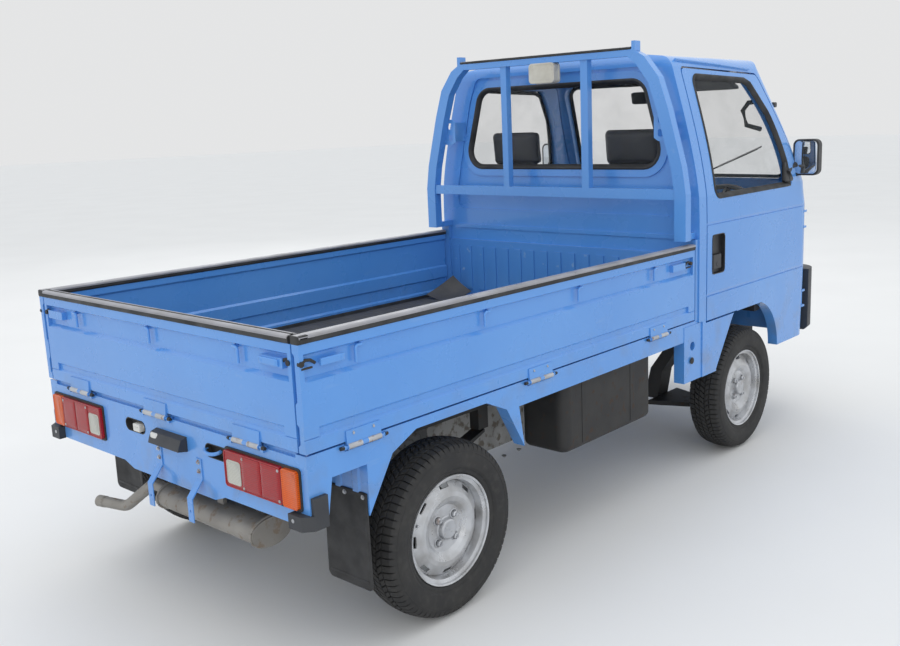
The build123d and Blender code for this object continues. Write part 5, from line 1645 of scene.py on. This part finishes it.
def makeHeadlampTrim(sideName, side):
    low, high = front["lamp"]
    skins = ["headlamps", "cab_front", "amber_lamps"]

    def toNose(p, depth):
        # the slit between lamp and panel has no skin, so the line moves in until it meets the lens
        x = p.x
        hit = None
        while hit is None:
            hit = skinAt(skins, fromNose(side * x, min(max(p.y, low[1]), high[1])), rearward)
            x += 0.002 if x < 0.49 else -0.002
        return Vector((side * p.x, hit[0].y - depth, p.y))

    bm = bmesh.new()
    outline = denseLoop(rectLoop(low, high, front["lampRound"]), 0.02)
    addLayers(bm, outline, toNose, front["bezel"], lastCap=False)
    endPiece("headlamp_bezel_" + sideName, bm, "bumper", "chassis", angle=45)
    bm = bmesh.new()
    for x in spread(low[0] + 0.014, high[0] - 0.014, front["flutes"]):
        starts = [fromNose(side * x, z) for z in spread(low[1] + 0.008, high[1] - 0.008, 7)]
        points, normals = skinLine(skins, starts, rearward)
        addSweep(bm, points, normals, front["flute"])
    endPiece("headlamp_flutes_" + sideName, bm, "headlamp", "chassis", angle=60)


def makeGrille():
    bm = bmesh.new()
    half, low, high = front["grille"]
    pitch = (high - low) / front["slats"]
    inset = half - 0.006
    for k in range(front["slats"]):
        addAcross(bm, ["cab_front"], -inset, inset, low + pitch * (k + 0.5), front["slat"], 0.001)
    for z in (low, high):
        addAcross(bm, ["cab_front"], -half, half, z, front["grilleEdge"], 0.0)
    half, low, high = front["cowl"]
    for z in spread(low, high, front["cowlSlats"]):
        addAcross(bm, ["cab_front", "windscreen_frame"], -half, half, z, front["cowlSlat"], 0.0005)
    endPiece("nose_grille", bm, "bumper", "chassis", angle=45)


def makeBumperSlats():
    bm = bmesh.new()
    near, far, low, high = front["intake"]
    for z in spread(low, high, front["intakeSlats"]):
        for side in (-1, 1):
            addAcross(bm, ["bumpers"], side * near, side * far, z, front["intakeSlat"], 0.0)
    endPiece("bumper_slats", bm, "rubber", "chassis", angle=45)


def makeWipers():
    bm = bmesh.new()
    for foot, tip in front["wipers"]:
        def along(t):
            return foot[0] + (tip[0] - foot[0]) * t, foot[1] + (tip[1] - foot[1]) * t

        line = []
        for t in spread(0, 1, 9):
            hit = skinAt(["windscreen", "windscreen_frame", "cab_front"], fromNose(*along(t)), rearward)
            if hit:
                line.append(hit[0] + hit[1] * (0.021 - 0.004 * t))
        addTube(bm, line, 0.0042, 8)
        start, end = line[0] + Vector((0, 0.02, -0.004)), line[0] + Vector((0, -0.010, 0.002))
        addRod(bm, start, end, 0.011, 0.010, 18)
        spots = [along(t) for t in spread(0.30, 1.08, 13)]
        starts = [fromNose(x, z + 0.004) for x, z in spots]
        points, normals = skinLine(["windscreen"], starts, rearward, 0.0062)
        addSweep(bm, points, normals, front["blade"])
    endPiece("wipers", bm, "mirrorBlack", "chassis", angle=45)


for sideName, side in sides:
    makeHeadlampTrim(sideName, side)
makeGrille()
makeBumperSlats()
makeWipers()

# Mud flaps, each hanging from a folded panel

flapShape = {
    "x": (0.497, 0.682), "y": 1.4085, "low": 0.2160, "high": 0.500, "round": 0.018, "topRound": 0.004,
    "layers": [(-0.0012, 0), (0, 0.001), (0, 0.0036), (-0.0014, 0.0046), (-0.010, 0.0048), (-0.0115, 0.0038)],
    "rib": [(0, 0.003), (0, 0.0048), (-0.0012, 0.0054)],
    "panelZ": (0.497, 0.574), "folds": [(0.050, 0.076), (0.122, 0.150)], "foldOut": 0.0048, "sheet": 0.0012,
}


def makeFlap(sideName, side):
    f = flapShape
    near, far = f["x"]
    low, high = f["low"], f["high"]

    def toFlap(p, depth):
        return Vector((side * p.x, f["y"] + depth, p.y))

    bm = bmesh.new()
    corners = [(near, low), (far, low), (far - 0.004, high), (near + 0.004, high)]
    loop = roundedLoop(corners, [f["round"], f["round"], f["topRound"], f["topRound"]], 6)
    addLayers(bm, loop, toFlap, f["layers"], firstCap=True)
    rib = rectLoop((near + 0.012, low + 0.020), (far - 0.012, low + 0.028), 0.003)
    addLayers(bm, rib, toFlap, f["rib"])
    flap = endPiece("flap_" + sideName, bm, "rubber", "chassis", angle=35)
    if side > 0:
        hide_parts("mudflaps")
    bm = bmesh.new()
    # the panel's section, across and out, with two upright folds
    flat, proud = 0.0005, f["foldOut"]
    section = [(near + 0.004, flat)]
    for left, right in f["folds"]:
        section += [(near + left, flat), (near + left + 0.006, proud)]
        section += [(near + right, proud), (near + right + 0.006, flat)]
    section.append((far - 0.001, flat))
    rings = []
    for z in f["panelZ"]:
        outer = [Vector((side * x, f["y"] + out, z)) for x, out in section]
        inner = [Vector((side * x, f["y"] + out - f["sheet"], z)) for x, out in section[::-1]]
        rings.append(outer + inner)
    addRings(bm, rings, capped=True)
    endPiece("flap_panel_" + sideName, bm, "paint", "chassis", angle=30)


for sideName, side in sides:
    makeFlap(sideName, side)

# Underneath: strut springs, spring clamps, tank bands, pipe end, sump

under = {
    "coil": 0.040, "wire": 0.0052, "turns": 5.2, "coilLow": 0.522, "coilHigh": 0.628, "coilSteps": 130,
    "strutTop": (0.440, 0.660), "ball": (0.520, 0.170),
    "springX": 0.380, "clampX": 0.031, "clampY": 0.042, "clampLow": 0.226, "clampHigh": 0.392,
    "clampRod": 0.0048,
    "flapBolts": (0.515, 0.590, 0.664), "flapBoltPlace": (1.4133, 0.487),
    "flapBolt": (0.0045, 0.0045), "bandBolt": (0.005, 0.005), "drainPlug": (0.011, 0.007),    # radius, height
    "sumpBolt": (0.006, 0.006),
    "bandY": (0.030, 0.340), "bandWide": 0.028,
    "bands": [    # low and high corner across the truck: outer wall, inner wall, underside
        ((-0.6415, 0.345), (-0.6395, 0.588)), ((-0.4405, 0.345), (-0.4385, 0.588)),
        ((-0.620, 0.3235), (-0.460, 0.3255)),
    ],
    "muffler": (1.5205, 0.360), "mufflerHalf": (0.0695, 0.0435), "seams": (-0.388, 0.092),
    "flanges": (0.118, 0.130),
    "flange": [(-0.010, 0.019), (-0.010, 0.030), (-0.002, 0.030), (-0.002, 0.019)],
    "mouth": (0.482, 1.5805, 0.262), "mouthWay": (0.971, 0.238, 0),
    "mouthRim": [
        (-0.030, 0.0192), (0.0015, 0.0192), (0.0022, 0.0182), (0.0015, 0.0165), (-0.012, 0.0160),
        (-0.012, 0.0005),
    ],
    "fins": 9, "sumpBolts": 6,
}


def makeCoil(sideName, side):
    u = under
    ball = Vector((side * u["ball"][0], frontAxle, u["ball"][1]))
    top = Vector((side * u["strutTop"][0], frontAxle, u["strutTop"][1]))
    axis = (top - ball).normalized()
    right = axis.orthogonal().normalized()
    over = axis.cross(right)
    points = []
    for k in range(u["coilSteps"] + 1):
        t = k / u["coilSteps"]
        turn = 2 * math.pi * u["turns"] * t
        along = (u["coilLow"] + (u["coilHigh"] - u["coilLow"]) * t - ball.z) / axis.z
        points.append(ball + axis * along + (right * math.cos(turn) + over * math.sin(turn)) * u["coil"])
    bm = bmesh.new()
    addTube(bm, points, u["wire"], 8)
    endPiece("coil_spring_" + sideName, bm, "frameBlack", "knuckle_" + sideName, angle=60)


def makeSpringClamps(sideName, side):
    u = under
    bm = bmesh.new()
    middle = side * u["springX"]
    wide, top = u["clampX"], u["clampHigh"]
    for y in (rearAxle - u["clampY"], rearAxle + u["clampY"]):
        for x in (middle - wide, middle + wide):
            addRod(bm, (x, y, u["clampLow"]), (x, y, top), u["clampRod"], count=12)
            addRod(bm, (x, y, top - 0.008), (x, y, top), 0.0085, count=6)
        bow = [(middle - wide, y, 0.229), (middle, y, 0.2265), (middle + wide, y, 0.229)]
        addTube(bm, bow, u["clampRod"], 10)
    addPad(bm, (middle, rearAxle, 0.378), (0.042, 0.055, 0.005), 0.003, crown=0.0, pull=0.0, cuts=4)
    endPiece("spring_clamps_" + sideName, bm, "steel", "chassis", angle=35)


def makeFlapBolts(sideName, side):
    bm = bmesh.new()
    for x in under["flapBolts"]:
        addBolt(bm, (side * x, *under["flapBoltPlace"]), rearward, *under["flapBolt"])
    endPiece("flap_bolts_" + sideName, bm, "steel", "chassis", angle=30)


def makeTankBands():
    bm = bmesh.new()
    wide = under["bandWide"]
    for y in under["bandY"]:
        for low, high in under["bands"]:
            addBox(bm, (low[0], y, low[1]), (high[0], y + wide, high[1]))
        addBolt(bm, (-0.6412, y + wide / 2, 0.575), (-1, 0, 0), *under["bandBolt"])
    addBolt(bm, (-0.540, 0.185, 0.3252), downward, *under["drainPlug"])
    endPiece("tank_bands", bm, "frameBlack", "chassis", bevel=0.0006, angle=35)


def makeExhaustTrim():
    # the pipe's open mouth, the muffler's seams and its flange
    u = under
    bm = bmesh.new()
    way = Vector(u["mouthWay"]).normalized()
    addLathe(bm, Vector(u["mouth"]) + way * 0.002, way, u["mouthRim"], 28)
    (y, z), (halfY, halfZ) = u["muffler"], u["mufflerHalf"]
    for x in u["seams"]:
        turns = [2 * math.pi * k / 48 for k in range(48)]
        ring = [(x, y + halfY * math.cos(turn), z + halfZ * math.sin(turn)) for turn in turns]
        addTube(bm, ring, 0.0042, 8, closed=True)
    for x in u["flanges"]:
        addLathe(bm, (x, y, z), (1, 0, 0), u["flange"], 28)
    endPiece("exhaust_trim", bm, "muffler", "chassis", angle=40)


def makeSumpFins():
    bm = bmesh.new()
    low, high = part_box("engine_block")
    half = ((high.y - low.y) * 0.42, 0.007)
    for x in spread(low.x + 0.06, high.x - 0.06, under["fins"]):
        centre = (x, (low.y + high.y) / 2, low.z + 0.001)
        addPad(bm, centre, (0.004, *half), 0.003, crown=0.0, pull=0.0, cuts=4)
    for x in (low.x + 0.035, high.x - 0.035):
        for y in spread(low.y + 0.05, high.y - 0.05, under["sumpBolts"]):
            addBolt(bm, (x, y, low.z), downward, *under["sumpBolt"])
    endPiece("sump_fins", bm, "cast", "chassis", angle=40)


for sideName, side in sides:
    makeCoil(sideName, side)
    makeSpringClamps(sideName, side)
    makeFlapBolts(sideName, side)
makeTankBands()
makeExhaustTrim()
makeSumpFins()
print("front and underside dressed")

# Floor


def makeFloor():
    half = studio["floorHalf"]
    mesh = bpy.data.meshes.new("floor")
    corners = [(-half, -half, 0), (half, -half, 0), (half, half, 0), (-half, half, 0)]
    mesh.from_pydata(corners, [], [(0, 1, 2, 3)])
    mat, tree, shader = startMaterial("studio_floor", 0.85)
    darker = tuple(c * 0.97 for c in studio["floor"])
    colour = blendColors(tree, patchesOf(tree, 1.2, 6, 0.3, 0.7), studio["floor"], darker)
    tree.links.new(colour, shader.inputs["Base Color"])
    mesh.materials.append(mat)
    floor = bpy.data.objects.new("floor", mesh)
    bpy.context.scene.collection.objects.link(floor)


makeFloor()
